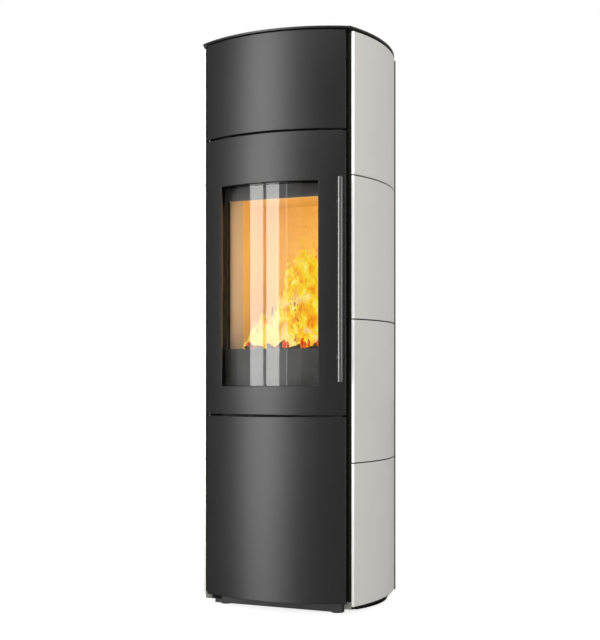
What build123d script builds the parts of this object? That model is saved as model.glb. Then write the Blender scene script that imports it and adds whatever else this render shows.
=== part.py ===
from build123d import *
from math import asin, degrees, sqrt
import os

# Tall tiled stove: a steel body with a bowed black front, a glazed fire door
# hung on the left, a plain lower door, and four large tiles down each side.
# Millimetres, +Z up, +Y to the back. X = 0 is the middle of the stove and
# Z = 0 is the floor.

# ---- overall sizes ----------------------------------------------------------
TOP_HEIGHT = 1674.0          # floor to the upper face of the top plate
SIDE_HALF_WIDTH = 272.3      # middle to the widest point of the side tiles
SIDE_RADIUS = 520.0          # outer face of the side tiles, in plan
SIDE_BULGE_DEPTH = 193.8     # front chord to the widest point of the sides
BODY_DEPTH = 382.0           # front chord to the back sheet's outer face
FRONT_RADIUS = 466.0         # outer face of the bowed front panels, in plan
FRONT_INSET = 50.3           # ends of the bowed panels inside the widest point
FRONT_HALF_WIDTH = SIDE_HALF_WIDTH - FRONT_INSET

# ---- rear connections -------------------------------------------------------
FLUE_RADIUS = 75.0           # smoke pipe 150 mm slides over it
FLUE_WALL = 2.0
FLUE_REACH = 45.0            # how far the smoke spigot stands out at the back
FLUE_DROP = 149.0            # top plate's upper face to the smoke outlet's axis
AIR_RADIUS = 50.0            # air hose 100 mm slides over it
AIR_WALL = 1.5
AIR_REACH = 35.0
AIR_DROP = 50.0              # firebox's underside to the air inlet's axis
SPIGOT_FLANGE = 14.0
SPIGOT_FLANGE_SHEET = 2.5
FLUE_LAP = 12.0              # smoke spigot inside the back sheet
ELBOW_LAP = 5.0              # smoke elbow beyond the back sheet

# ---- top plate --------------------------------------------------------------
TOP_PLATE_THICKNESS = 6.0
TOP_PLATE_OVERHANG = 4.0     # beyond the bowed front panels
TOP_PLATE_SIDE_INSET = 0.2   # behind the face of the tiles
TOP_PLATE_REAR_OVERHANG = 2.0
TOP_PLATE_EASE = 0.8
TOP_GAP = 2.5                # shadow gap under the top plate
TOP_SPACER = 6.0             # pads between the walls and the top plate
SPACER_LENGTH = 40.0
SPACER_INSET = 40.0          # pads inside the walls' ends

# Front chord in the row frame: the body and the smoke spigot are centred on
# the origin, front to back.
FRONT_SAGITTA = FRONT_RADIUS - sqrt(FRONT_RADIUS**2 - FRONT_HALF_WIDTH**2)
REAR_REACH = BODY_DEPTH + FLUE_REACH
CHORD_Y = (FRONT_SAGITTA + TOP_PLATE_OVERHANG - REAR_REACH) / 2
FRONT_CENTRE_Y = CHORD_Y - FRONT_SAGITTA + FRONT_RADIUS
SIDE_CENTRE_X = SIDE_RADIUS - SIDE_HALF_WIDTH
SIDE_CENTRE_Y = CHORD_Y + SIDE_BULGE_DEPTH
BACK_Y = CHORD_Y + BODY_DEPTH
WALL_INSET = 16.0            # side walls inside the ends of the bowed panels
WALL_X = FRONT_HALF_WIDTH - WALL_INSET
CUT_PAST = 20.0              # cutting solids reach this far past the body

# ---- feet, base and plinth --------------------------------------------------
FOOT_RADIUS = 17.5
FOOT_HEIGHT = 8.0
FOOT_STUD_RADIUS = 5.0
FOOT_STUD_PAST = 4.0         # stud above its upper nut
FOOT_TO_WALL = 28.0          # feet inside the side walls
FOOT_X = WALL_X - FOOT_TO_WALL
FOOT_NUT = 7.0
FOOT_NUT_RADIUS = 9.0
FOOT_INSET = 24.0            # from the base plate's front and rear edges
BASE_BOTTOM = 15.0
BASE_THICKNESS = 9.2
BASE_SIDE_INSET = 10.0       # base plate's curved edge behind the tile faces
BASE_SETBACK = 22.0          # front edge behind the front chord
BASE_REAR_GAP = 30.0         # rear edge ahead of the back's outer face
PLINTH_BOTTOM = 4.4
PLINTH_TO_WALL = 2.0         # plinth's ends inside the side walls
PLINTH_HALF_WIDTH = WALL_X - PLINTH_TO_WALL
PLINTH_SHEET = 2.0
PLINTH_RETURN = 14.0
CORNER_TAB_BOTTOM = 16.0
CORNER_TAB_HEIGHT = 22.0
CORNER_TAB_SHEET = 1.5

# ---- tiles ------------------------------------------------------------------
TILE_COUNT = 4               # tiles down each side
TILE_GAP = 3.2               # fibre strip between two tiles
TILE_THICKNESS = 32.0
TILE_FRONT_SETBACK = 16.2    # front edge of the tiles behind the front chord
TILE_REAR_GAP = 10.5         # rear edge of the tiles to the back's outer face
TILE_ARRIS = 1.6             # rounding of the glazed edges
TILE_STRIP_INSET = 8.0       # the fibre strip keeps behind the tile faces
TILE_TOP_GAP = 6.0           # top tile to the underside of the top plate
TILE_SLOT_DEPTH = 12.0       # hook slot in the back of each tile
TILE_SLOT_HEIGHT = 9.0
TILE_SLOT_WIDTH = 60.0
TILE_SLOT_DROP = 60.0        # top of a tile to its hook slot
HOOK_WIDTH = 50.0
HOOK_THICKNESS = 3.0
HOOK_CLEARANCE = 0.3
HOOK_FLANGE = 28.0
HOOK_END_GAP = 2.0           # tongue's end to the slot's bottom

# ---- body sheet metal -------------------------------------------------------
SHEET = 3.0                  # body side walls
POST_SHEET = 1.5             # corner posts
POST_REACH = 11.0            # corner posts beyond the ends of the bowed panels
POST_OUTER_X = FRONT_HALF_WIDTH + POST_REACH
POST_LIP_SETBACK = 3.0       # forward lip inside the post's outer edge
POST_LIP_DEPTH = 6.0
WALL_FLANGE = 26.0
BACK_SHEET = 2.0
BACK_RETURN = 10.0
BACK_INSET = 30.5            # back sheet's edges inside the widest point
BACK_HALF_WIDTH = SIDE_HALF_WIDTH - BACK_INSET
VENT_COLUMNS = 9
VENT_ROWS = 3
VENT_LENGTH = 26.0
VENT_HEIGHT = 6.0
VENT_PITCH_X = 34.0
VENT_PITCH_Z = 22.0
VENT_BOTTOM = 240.0
PANEL_SHEET = 2.5            # bowed front panels
PANEL_RETURN = 6.0           # end flanges of the bowed panels, behind chord
PANEL_EDGE = 11.0            # top and bottom flanges of the bowed panels
FACE_PLATE_SETBACK = 16.0    # face plate behind the front chord
FACE_PLATE = 4.0
BRACKET_HEIGHT = 30.0
BRACKET_INSET = 60.0
FIT = 0.3                    # running gap to pieces that move
MATE = 0.3                   # assembly gap between pieces that do not

# ---- heights of the front ---------------------------------------------------
UPPER_GAP_DROP = 293.1       # stove's top to the middle of the gap over the fire door
LOWER_GAP_DROP = 1107.3      # stove's top to the middle of the gap under the fire door
DOOR_TOP_LINE = TOP_HEIGHT - UPPER_GAP_DROP
DOOR_BOTTOM_LINE = TOP_HEIGHT - LOWER_GAP_DROP
PANEL_GAP = 6.0
LOWER_DOOR_BOTTOM = 34.0

# ---- fire door --------------------------------------------------------------
WINDOW_X = -4.6              # window's middle, nearer to the hinges
WINDOW_SIDE_BORDER = 68.0    # half of what the window leaves of the door's width
WINDOW_LOWER_BORDER = 84.8   # gap under the door to the window
WINDOW_UPPER_BORDER = 143.9  # window to the gap over the door
WINDOW_HALF_WIDTH = FRONT_HALF_WIDTH - WINDOW_SIDE_BORDER
WINDOW_BOTTOM = DOOR_BOTTOM_LINE + WINDOW_LOWER_BORDER
WINDOW_TOP = DOOR_TOP_LINE - WINDOW_UPPER_BORDER
WINDOW_CORNER = 5.0
FRAME_SETBACK = 10.0         # rear face of the door frame behind the chord
FRAME_SIDE_GAP = 1.5         # to the skin's end flanges
FRAME_STEP = 5.0             # frame opening beyond the window each way
FRAME_WALL = 8.0             # walls and ribs of the cast frame
POCKET_INSET = 24.0          # frame's pockets inside its lower and upper edges
POCKET_TO_GLASS = 16.0       # frame's pockets to the glass
GLASS = 4.0
GLASS_SETBACK = 9.0          # glass behind the face of the door skin
GLASS_RADIUS = FRONT_RADIUS - GLASS_SETBACK
GLASS_LAP = 14.0             # glass beyond the window each way
GLASS_ROPE = 3.0
GLASS_TAPE_WIDTH = 8.0
CLIP_COUNT = 4               # glass clips down each side
CLIP_LENGTH = 30.0
CLIP_WIDTH = 8.0
CLIP_GAP = 1.0               # clips beside the window's turned edge
SEAL_WIDTH = 12.0
SEAL_GROOVE = 4.0
SEAL_INSET = 39.0            # rope's middle line inside the frame's edge

# ---- door hinges ------------------------------------------------------------
HINGE_INSET = 8.5            # pin axis inside the end of the bowed panels
HINGE_X = HINGE_INSET - FRONT_HALF_WIDTH
HINGE_SETBACK = 5.0          # pin axis behind the front chord
PIN_RADIUS = 3.5
PIN_CLEARANCE = 0.05
PIN_ENGAGEMENT = 24.0
PIN_HOLE_IN_SHEET = 6.0
BOSS_RADIUS = 5.5
HINGE_PLATE = 3.0
HINGE_EAR_RADIUS = 5.5
HINGE_LEAF_HEIGHT = 34.0
HINGE_LEAF_WIDTH = 20.0

# ---- handle -----------------------------------------------------------------
HANDLE_RADIUS = 7.6
HANDLE_INSET = 6.0           # bar axis inside the end of the bowed panels
HANDLE_X = FRONT_HALF_WIDTH - HANDLE_INSET
HANDLE_STANDOFF = 31.0       # bar axis ahead of the front chord
HANDLE_RISE = 12.5           # bar's lower end over the window's lower edge
HANDLE_PAST = 6.0            # bar's upper end over the window's upper edge
HANDLE_BOTTOM = WINDOW_BOTTOM + HANDLE_RISE
HANDLE_TOP = WINDOW_TOP + HANDLE_PAST
HANDLE_ARM_INSET = 70.0      # arms inside the bar's ends
HANDLE_ARM_RADIUS = 5.0
HANDLE_ARM_IN = 10.0         # arms inside the end of the bowed panels
HANDLE_ARM_X = FRONT_HALF_WIDTH - HANDLE_ARM_IN
HANDLE_END_EASE = 0.8

# ---- roller catch -----------------------------------------------------------
ROLLER_RADIUS = 6.0
ROLLER_LENGTH = 9.0
ROLLER_EASE = 0.8
AXLE_RADIUS = 2.5
AXLE_CLEARANCE = 0.05
ROLLER_INSET = 28.0          # roller axis inside the end of the bowed panels
ROLLER_X = FRONT_HALF_WIDTH - ROLLER_INSET
ROLLER_SETBACK = 28.0        # roller axis behind the front chord
ROLLER_SPREAD = 150.0        # rollers above and below the window's middle
FORK_THICKNESS = 3.0
FORK_WIDTH = 8.0
SLOT_SIDE = 1.2              # slot in the face plate, each side of a roller
LEAF_LENGTH = 24.0

# ---- firebox ----------------------------------------------------------------
FIRE_SIDE_MARGIN = 6.0       # fire opening beyond the window's sides
FIRE_RISE = 109.5            # window's lower edge to the fire opening's
FIRE_DROP = 37.0             # window's upper edge to the fire opening's
FIRE_HALF_WIDTH = WINDOW_HALF_WIDTH + FIRE_SIDE_MARGIN
FIRE_BOTTOM = WINDOW_BOTTOM + FIRE_RISE
FIRE_TOP = WINDOW_TOP - FIRE_DROP
FIRE_CORNER = 3.0
FIRE_RETURN = 14.0           # side edges of the fire opening, folded back
FIRE_RETURN_SHEET = 2.0
FACE_PLATE_LOWER_LAP = 10.7  # face plate past the gap under the fire door
FACE_PLATE_UPPER_LAP = 59.1  # face plate past the gap over the fire door
FACE_PLATE_BOTTOM = DOOR_BOTTOM_LINE - FACE_PLATE_LOWER_LAP
FACE_PLATE_TOP = DOOR_TOP_LINE + FACE_PLATE_UPPER_LAP
BOX_SHEET = 4.0
BOX_DEPTH = 330.0            # front chord to the firebox's rear face
BOX_LOWER_REACH = 111.0      # firebox below the fire opening
BOX_TOP_DROP = 8.9           # firebox's top below the gap over the fire door
BOX_BOTTOM = FIRE_BOTTOM - BOX_LOWER_REACH
BOX_TOP = DOOR_TOP_LINE - BOX_TOP_DROP
LINING = 30.0                # rear fire board
SIDE_LINING = 19.0           # side fire boards
JOINT = 0.5                  # dry joint round the lining boards
HEARTH_THICKNESS = 40.0
HEARTH_DROP = 16.0           # hearth below the fire opening's lower edge
HEARTH_TOP = FIRE_BOTTOM - HEARTH_DROP
GRATE_WIDTH = 150.0
GRATE_DEPTH = 120.0
GRATE_THICKNESS = 14.0
GRATE_BARS = 7
GRATE_BAR_WIDTH = 9.0
GRATE_RIM = 10.0
GRATE_LEDGE = 8.0
ASH_PAN_WALL = 1.5
ASH_PAN_HEIGHT = 40.0
ASH_PAN_WIDTH = 210.0
ASH_PAN_DEPTH = 180.0
ASH_PAN_RIM = 6.0
ASH_PAN_FORWARD = 12.0       # pan's middle ahead of the grate's
BAFFLE_BOARD = 25.0
BAFFLE_FRONT_GAP = 60.0
BAFFLE_PLATE = 4.0
BAFFLE_PLATE_RISE = 100.0    # baffle plate over the fire opening's upper edge
BAFFLE_PLATE_HEIGHT = FIRE_TOP + BAFFLE_PLATE_RISE
BAFFLE_REAR_GAP = 60.0
LINING_RISE = 15.0           # boards' tops over the fire opening's upper edge
LINING_TOP = FIRE_TOP + LINING_RISE
LEDGE = 12.0
AIR_PORT_RADIUS = 30.0
AIR_PORT_INSET = 60.0        # air port's middle ahead of the box's rear face

# ---- heat store over the firebox --------------------------------------------
STORE_LAYERS = 3
STORE_TOP_GAP = 26.0         # heat store to the top plate
STORE_TO_WALL = 34.0         # heat store inside the side walls
STORE_HALF_WIDTH = WALL_X - STORE_TO_WALL
STORE_FRONT_SETBACK = 45.0
STORE_REAR_GAP = 22.0        # heat store to the back sheet
ELBOW_RADIUS = 72.5          # outside of the smoke elbow
ELBOW_WALL = 2.0
ELBOW_BEND = 85.0            # bend radius on the elbow's middle line
ELBOW_SETBACK = 200.0        # upright axis behind the front chord
ELBOW_CLEARANCE = 2.0

# ---- air supply -------------------------------------------------------------
AIR_BOX_HEIGHT = 160.0
AIR_BOX_TO_WALL = 86.0       # air box inside the side walls
AIR_BOX_BOTTOM = BOX_BOTTOM - AIR_BOX_HEIGHT
AIR_BOX_HALF_WIDTH = WALL_X - AIR_BOX_TO_WALL
AIR_BOX_WALL = 2.0
AIR_BOX_SETBACK = 60.0       # front of the air box behind the front chord
AIR_SLOT_WIDTH = 70.0
AIR_SLOT_HEIGHT = 16.0
AIR_SLOT_RISE = 30.0         # middle of the slot over the air box's floor
AIR_TUBE_LAP = 6.0
SLIDE_THICKNESS = 2.5
SLIDE_HEIGHT = 30.0
SLIDE_WIDTH = 160.0
SLIDE_TRAVEL = 60.0
GUIDE_LIP = 5.0
GUIDE_WALL = 2.0
KNOB_OFFSET = 45.0           # knob left of the slide's middle
KNOB_RADIUS = 9.0
KNOB_LENGTH = 16.0
KNOB_STEM_RADIUS = 3.0
KNOB_STEM_LENGTH = 12.0

# ---- lower compartment ------------------------------------------------------
FLOOR_SHEET = 3.0
FLOOR_TOP = 46.0
FLOOR_SETBACK = 24.0
LOWER_FRAME_SETBACK = 8.0    # rear face of the lower door's frame
LOWER_FRAME_WIDTH = 32.0
MAGNET_WIDTH = 18.0
MAGNET_HEIGHT = 40.0
MAGNET_DEPTH = 20.0
MAGNET_INSET = 90.0          # magnets inside the lower door's ends
SCREW_RADIUS = 4.0
SCREW_HEAD = 2.2
SCREW_ROWS = 5
SCREW_EDGE = 18.0

# ---- worked-out places ------------------------------------------------------
TOP_UNDERSIDE = TOP_HEIGHT - TOP_PLATE_THICKNESS
WALL_TOP = TOP_UNDERSIDE - TOP_SPACER
FLUE_HEIGHT = TOP_HEIGHT - FLUE_DROP
AIR_HEIGHT = BOX_BOTTOM - AIR_DROP
STORE_LAYER_HEIGHT = (TOP_UNDERSIDE - STORE_TOP_GAP - BOX_TOP) / STORE_LAYERS
BASE_TOP = BASE_BOTTOM + BASE_THICKNESS
CORNER_TAB_TOP = CORNER_TAB_BOTTOM + CORNER_TAB_HEIGHT
TILE_PITCH = (TOP_UNDERSIDE - TILE_TOP_GAP - BASE_TOP + TILE_GAP) / TILE_COUNT
TILE_HEIGHT = TILE_PITCH - TILE_GAP
TILE_FRONT_Y = CHORD_Y + TILE_FRONT_SETBACK
TILE_REAR_Y = BACK_Y - TILE_REAR_GAP
PANEL_TOP = TOP_UNDERSIDE - TOP_GAP
PANEL_INNER_RADIUS = FRONT_RADIUS - PANEL_SHEET
SKIN_X = FRONT_HALF_WIDTH - PANEL_SHEET
UPPER_PANEL_BOTTOM = DOOR_TOP_LINE + PANEL_GAP / 2
DOOR_TOP = DOOR_TOP_LINE - PANEL_GAP / 2
DOOR_BOTTOM = DOOR_BOTTOM_LINE + PANEL_GAP / 2
LOWER_DOOR_TOP = DOOR_BOTTOM_LINE - PANEL_GAP / 2
FRAME_HALF_WIDTH = SKIN_X - FRAME_SIDE_GAP
FRAME_BOTTOM = DOOR_BOTTOM + PANEL_SHEET + MATE
FRAME_TOP = DOOR_TOP - PANEL_SHEET - MATE
FRAME_REAR_Y = CHORD_Y + FRAME_SETBACK
LOWER_FRAME_REAR_Y = CHORD_Y + LOWER_FRAME_SETBACK
LOWER_FRAME_BOTTOM = LOWER_DOOR_BOTTOM + PANEL_SHEET + MATE
LOWER_FRAME_TOP = LOWER_DOOR_TOP - PANEL_SHEET - MATE
FACE_PLATE_Y = CHORD_Y + FACE_PLATE_SETBACK
WALL_INNER_X = WALL_X - SHEET
WALL_REAR_Y = BACK_Y - BACK_SHEET
POST_REAR_Y = TILE_FRONT_Y - FIT
POST_FRONT_Y = POST_REAR_Y - POST_SHEET
HINGE_Y = CHORD_Y + HINGE_SETBACK
HANDLE_Y = CHORD_Y - HANDLE_STANDOFF
ROLLER_Y = CHORD_Y + ROLLER_SETBACK
BOX_HALF_WIDTH = FIRE_HALF_WIDTH + JOINT + SIDE_LINING + JOINT + BOX_SHEET
BOX_FRONT_Y = FACE_PLATE_Y + FACE_PLATE
BOX_REAR_Y = CHORD_Y + BOX_DEPTH
BOX_INNER_X = BOX_HALF_WIDTH - BOX_SHEET
BOX_INNER_REAR_Y = BOX_REAR_Y - BOX_SHEET
BOX_MIDDLE_Y = (BOX_FRONT_Y + BOX_INNER_REAR_Y) / 2
HEARTH_BOTTOM = HEARTH_TOP - HEARTH_THICKNESS
ELBOW_Y = CHORD_Y + ELBOW_SETBACK
AIR_BOX_FRONT_Y = CHORD_Y + AIR_BOX_SETBACK
AIR_SLOT_Z = AIR_BOX_BOTTOM + AIR_SLOT_RISE
WINDOW_MIDDLE_Z = (WINDOW_BOTTOM + WINDOW_TOP) / 2
AHEAD = CHORD_Y - FRONT_SAGITTA - CUT_PAST
BEHIND = BACK_Y + CUT_PAST


# ---- plan helpers -----------------------------------------------------------
def front_y(radius, x):
    """Y of the bowed front of this radius at x."""
    return FRONT_CENTRE_Y - sqrt(radius**2 - x**2)


def side_x(inset, y):
    """X of the right side's curve, this far inside the tile faces, at y."""
    return sqrt((SIDE_RADIUS - inset) ** 2 - (y - SIDE_CENTRE_Y) ** 2) - SIDE_CENTRE_X


def raised(edges, bottom, top):
    """A closed outline in plan, raised from one height to another."""
    return Pos(0, 0, bottom) * extrude(make_face(edges), top - bottom)


def block(x0, x1, y0, y1, z0, z1):
    """A rectangular block between two corners."""
    size = Box(abs(x1 - x0), abs(y1 - y0), abs(z1 - z0))
    return Pos((x0 + x1) / 2, (y0 + y1) / 2, (z0 + z1) / 2) * size


def upright(radius, x, y, bottom, top):
    """A vertical round bar."""
    return Pos(x, y, (bottom + top) / 2) * Cylinder(radius, top - bottom)


def along_y(radius, x, z, y0, y1):
    """A round bar from front to back."""
    return Pos(x, (y0 + y1) / 2, z) * Rot(90, 0, 0) * Cylinder(radius, y1 - y0)


def front_arc(radius, half_width):
    """The bowed front's arc in plan, from left to right."""
    end_y = front_y(radius, half_width)
    return ThreePointArc((-half_width, end_y), (0, front_y(radius, 0)), (half_width, end_y))


def bowed(outer, inner, half_width, bottom, top):
    """A sheet that follows the bowed front."""
    outer_y = front_y(outer, half_width)
    inner_y = front_y(inner, half_width)
    edges = [
        front_arc(outer, half_width),
        Line((half_width, outer_y), (half_width, inner_y)),
        front_arc(inner, half_width),
        Line((-half_width, inner_y), (-half_width, outer_y)),
    ]
    return raised(edges, bottom, top)


def bow_backed(outer, half_width, rear_y, bottom, top):
    """A solid with a bowed front and a flat back."""
    end_y = front_y(outer, half_width)
    edges = [
        front_arc(outer, half_width),
        Line((half_width, end_y), (half_width, rear_y)),
        Line((half_width, rear_y), (-half_width, rear_y)),
        Line((-half_width, rear_y), (-half_width, end_y)),
    ]
    return raised(edges, bottom, top)


def side_arc(inset, front, rear):
    """The right side's arc in plan, from front to rear."""
    middle = (front + rear) / 2
    return ThreePointArc(
        (side_x(inset, front), front),
        (side_x(inset, middle), middle),
        (side_x(inset, rear), rear),
    )


def side_sheet(outer_inset, inner_inset, front, rear, bottom, top):
    """A sheet or tile that follows the right side's curve."""
    edges = [
        side_arc(outer_inset, front, rear),
        Line((side_x(outer_inset, rear), rear), (side_x(inner_inset, rear), rear)),
        side_arc(inner_inset, front, rear),
        Line((side_x(inner_inset, front), front), (side_x(outer_inset, front), front)),
    ]
    return raised(edges, bottom, top)


def round_window(half_width, bottom, top, corner, y0, y1):
    """A rectangle with round corners, cut from front to back."""
    outline = RectangleRounded(2 * half_width, top - bottom, corner)
    cutter = extrude(Plane.XZ * outline, -(y1 - y0))
    return Pos(0, y0, (bottom + top) / 2) * cutter


def window_cutter(grow):
    """The window's outline, grown each way, cut through the whole door."""
    cutter = round_window(
        WINDOW_HALF_WIDTH + grow,
        WINDOW_BOTTOM - grow,
        WINDOW_TOP + grow,
        WINDOW_CORNER + grow,
        AHEAD,
        CHORD_Y + FRONT_SAGITTA,
    )
    return Pos(WINDOW_X, 0, 0) * cutter


def behind_window(outer, inner, grow):
    """A bowed sheet behind the window, beyond its outline each way."""
    reach = WINDOW_HALF_WIDTH + grow
    low = WINDOW_BOTTOM - grow
    high = WINDOW_TOP + grow
    sheet = bowed(outer, inner, reach + abs(WINDOW_X), low, high)
    return sheet & block(WINDOW_X - reach, WINDOW_X + reach, AHEAD, BEHIND, low, high)


def left_of(solid):
    """The left-hand copy of a right-hand piece."""
    return mirror(solid, Plane.YZ)


def both_sides(solids):
    """Right-hand pieces with their left-hand copies."""
    return solids + [left_of(solid) for solid in solids]


# ---- outer casing -----------------------------------------------------------
def top_plate():
    """Heavy plate with a bowed front that closes the body at the top."""
    radius = FRONT_RADIUS + TOP_PLATE_OVERHANG
    rear = BACK_Y + TOP_PLATE_REAR_OVERHANG
    corner_x = side_x(TOP_PLATE_SIDE_INSET, front_y(radius, POST_OUTER_X))
    corner_y = front_y(radius, corner_x)
    rear_x = side_x(TOP_PLATE_SIDE_INSET, rear)
    middle_y = (corner_y + rear) / 2
    middle_x = side_x(TOP_PLATE_SIDE_INSET, middle_y)
    edges = [
        front_arc(radius, corner_x),
        ThreePointArc((corner_x, corner_y), (middle_x, middle_y), (rear_x, rear)),
        Line((rear_x, rear), (-rear_x, rear)),
        ThreePointArc((-rear_x, rear), (-middle_x, middle_y), (-corner_x, corner_y)),
    ]
    plate = raised(edges, TOP_UNDERSIDE, TOP_HEIGHT)
    return chamfer(plate.faces().sort_by(Axis.Z)[-1].edges(), TOP_PLATE_EASE)


def top_spacers():
    """Four pads on the walls' flanges that carry the top plate."""
    inner = WALL_INNER_X - WALL_FLANGE
    pads = []
    for y in (FACE_PLATE_Y + SPACER_INSET, WALL_REAR_Y - SPACER_INSET):
        front = y - SPACER_LENGTH / 2
        pads.append(block(inner, WALL_INNER_X, front, front + SPACER_LENGTH, WALL_TOP, TOP_UNDERSIDE))
    return both_sides(pads)


def side_wall():
    """Right body wall, with a flange folded in under the top plate."""
    wall = block(WALL_INNER_X, WALL_X, FACE_PLATE_Y, WALL_REAR_Y, BASE_TOP, WALL_TOP)
    inner = WALL_INNER_X - WALL_FLANGE
    front = FACE_PLATE_Y + FACE_PLATE + MATE
    flange = block(inner, WALL_INNER_X, front, WALL_REAR_Y, WALL_TOP - SHEET, WALL_TOP)
    toe_rear = CHORD_Y + BASE_SETBACK
    toe = block(inner, WALL_X, FACE_PLATE_Y, toe_rear, BASE_TOP, CORNER_TAB_TOP)
    return wall + flange - toe


def corner_post():
    """Right corner profile over the inner part of the tiles' front edge."""
    lip_x = POST_OUTER_X - POST_LIP_SETBACK
    low = CORNER_TAB_TOP
    face = block(WALL_X, POST_OUTER_X, POST_FRONT_Y, POST_REAR_Y, low, PANEL_TOP)
    lip_y = POST_FRONT_Y - POST_LIP_DEPTH
    lip = block(lip_x - POST_SHEET, lip_x, lip_y, POST_FRONT_Y, low, PANEL_TOP)
    return face + lip


def corner_tabs():
    """Folded feet of the corner posts, seen at both ends of the plinth."""
    front = POST_REAR_Y - CORNER_TAB_SHEET
    tab = block(
        PLINTH_HALF_WIDTH + MATE,
        POST_OUTER_X,
        front,
        POST_REAR_Y,
        CORNER_TAB_BOTTOM,
        CORNER_TAB_TOP,
    )
    foot_rear = CHORD_Y + BASE_SETBACK
    foot = block(
        PLINTH_HALF_WIDTH + MATE,
        POST_OUTER_X - POST_LIP_SETBACK,
        POST_REAR_Y,
        foot_rear,
        CORNER_TAB_BOTTOM,
        CORNER_TAB_BOTTOM + CORNER_TAB_SHEET,
    )
    return both_sides([tab + foot])


def base_plate():
    """Thick base with curved sides that carries the walls and both tile stacks."""
    front = CHORD_Y + BASE_SETBACK
    rear = BACK_Y - BASE_REAR_GAP
    front_x = side_x(BASE_SIDE_INSET, front)
    rear_x = side_x(BASE_SIDE_INSET, rear)
    arc = side_arc(BASE_SIDE_INSET, front, rear)
    edges = [
        Line((-front_x, front), (front_x, front)),
        arc,
        Line((rear_x, rear), (-rear_x, rear)),
        mirror(arc, Plane.YZ),
    ]
    plate = raised(edges, BASE_BOTTOM, BASE_TOP)
    for x, y in foot_places():
        plate -= upright(FOOT_STUD_RADIUS + FIT, x, y, BASE_BOTTOM - 1, BASE_TOP + 1)
    return plate


def foot_places():
    """Plan places of the four levelling feet."""
    front = CHORD_Y + BASE_SETBACK + FOOT_INSET
    rear = BACK_Y - BASE_REAR_GAP - FOOT_INSET
    return [(x, y) for x in (-FOOT_X, FOOT_X) for y in (front, rear)]


def levelling_feet():
    """Four screw feet: shoe, jam nut, stud, and a nut on the base plate."""
    feet = []
    for x, y in foot_places():
        shoe = upright(FOOT_RADIUS, x, y, 0, FOOT_HEIGHT)
        shoe = fillet(shoe.edges().sort_by(Axis.Z)[-1], FOOT_HEIGHT / 3)
        stud_top = BASE_TOP + FOOT_NUT + FOOT_STUD_PAST
        stud = upright(FOOT_STUD_RADIUS, x, y, FOOT_HEIGHT / 2, stud_top)
        lower_nut = Pos(x, y, FOOT_HEIGHT) * RegularPolygon(FOOT_NUT_RADIUS, 6)
        upper_nut = Pos(x, y, BASE_TOP) * RegularPolygon(FOOT_NUT_RADIUS, 6)
        foot = shoe + stud + extrude(upper_nut, FOOT_NUT)
        feet.append(foot + extrude(lower_nut, BASE_BOTTOM - FOOT_HEIGHT))
    return feet


def plinth():
    """Straight kick plate under the lower door, folded back at both ends."""
    rear = CHORD_Y + BASE_SETBACK
    front = rear - PLINTH_SHEET
    inner = PLINTH_HALF_WIDTH - PLINTH_SHEET
    top = LOWER_DOOR_BOTTOM - MATE
    sheet = block(-PLINTH_HALF_WIDTH, PLINTH_HALF_WIDTH, front, rear, PLINTH_BOTTOM, top)
    for side in (-1, 1):
        x0, x1 = side * inner, side * PLINTH_HALF_WIDTH
        sheet += block(x0, x1, rear, rear + PLINTH_RETURN, PLINTH_BOTTOM, BASE_BOTTOM)
    return sheet


def back_panel():
    """Rear sheet with side returns, two spigot holes and a field of air slots."""
    front = BACK_Y - BACK_SHEET
    sheet = block(-BACK_HALF_WIDTH, BACK_HALF_WIDTH, front, BACK_Y, BASE_BOTTOM, PANEL_TOP)
    for side in (-1, 1):
        x0 = side * BACK_HALF_WIDTH
        x1 = x0 - side * BACK_SHEET
        sheet += block(x0, x1, BACK_Y - BACK_RETURN, front, BASE_BOTTOM, PANEL_TOP)
    sheet -= along_y(FLUE_RADIUS + FIT, 0, FLUE_HEIGHT, front - 1, BACK_Y + 1)
    sheet -= along_y(AIR_RADIUS + FIT, 0, AIR_HEIGHT, front - 1, BACK_Y + 1)
    slot = extrude(Plane.XZ * SlotOverall(VENT_LENGTH, VENT_HEIGHT), BACK_SHEET, both=True)
    first_x = -VENT_PITCH_X * (VENT_COLUMNS - 1) / 2
    for row in range(VENT_ROWS):
        z = VENT_BOTTOM + row * VENT_PITCH_Z
        for column in range(VENT_COLUMNS):
            sheet -= Pos(first_x + column * VENT_PITCH_X, BACK_Y - BACK_SHEET / 2, z) * slot
    return sheet


def back_screws():
    """Pan-head screws down both edges of the back sheet."""
    low = BASE_TOP + SCREW_EDGE
    step = (PANEL_TOP - SCREW_EDGE - low) / (SCREW_ROWS - 1)
    screws = []
    for row in range(SCREW_ROWS):
        for side in (-1, 1):
            x = side * (BACK_HALF_WIDTH - SCREW_EDGE)
            head = along_y(SCREW_RADIUS, x, low + row * step, BACK_Y, BACK_Y + SCREW_HEAD)
            screws.append(chamfer(head.edges().sort_by(Axis.Y)[-1], SCREW_HEAD / 3))
    return screws


# ---- tiles ------------------------------------------------------------------
def tile_bottom(row):
    """Height of the underside of a tile; row 0 is the lowest."""
    return BASE_TOP + row * TILE_PITCH


def hook_places():
    """Two hook places along each tile, front and rear."""
    quarter = (TILE_REAR_Y - TILE_FRONT_Y) / 4
    return (TILE_FRONT_Y + quarter, TILE_REAR_Y - quarter)


def slot_top(row):
    """Height of the upper edge of a tile's hook slots."""
    return tile_bottom(row) + TILE_HEIGHT - TILE_SLOT_DROP


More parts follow.
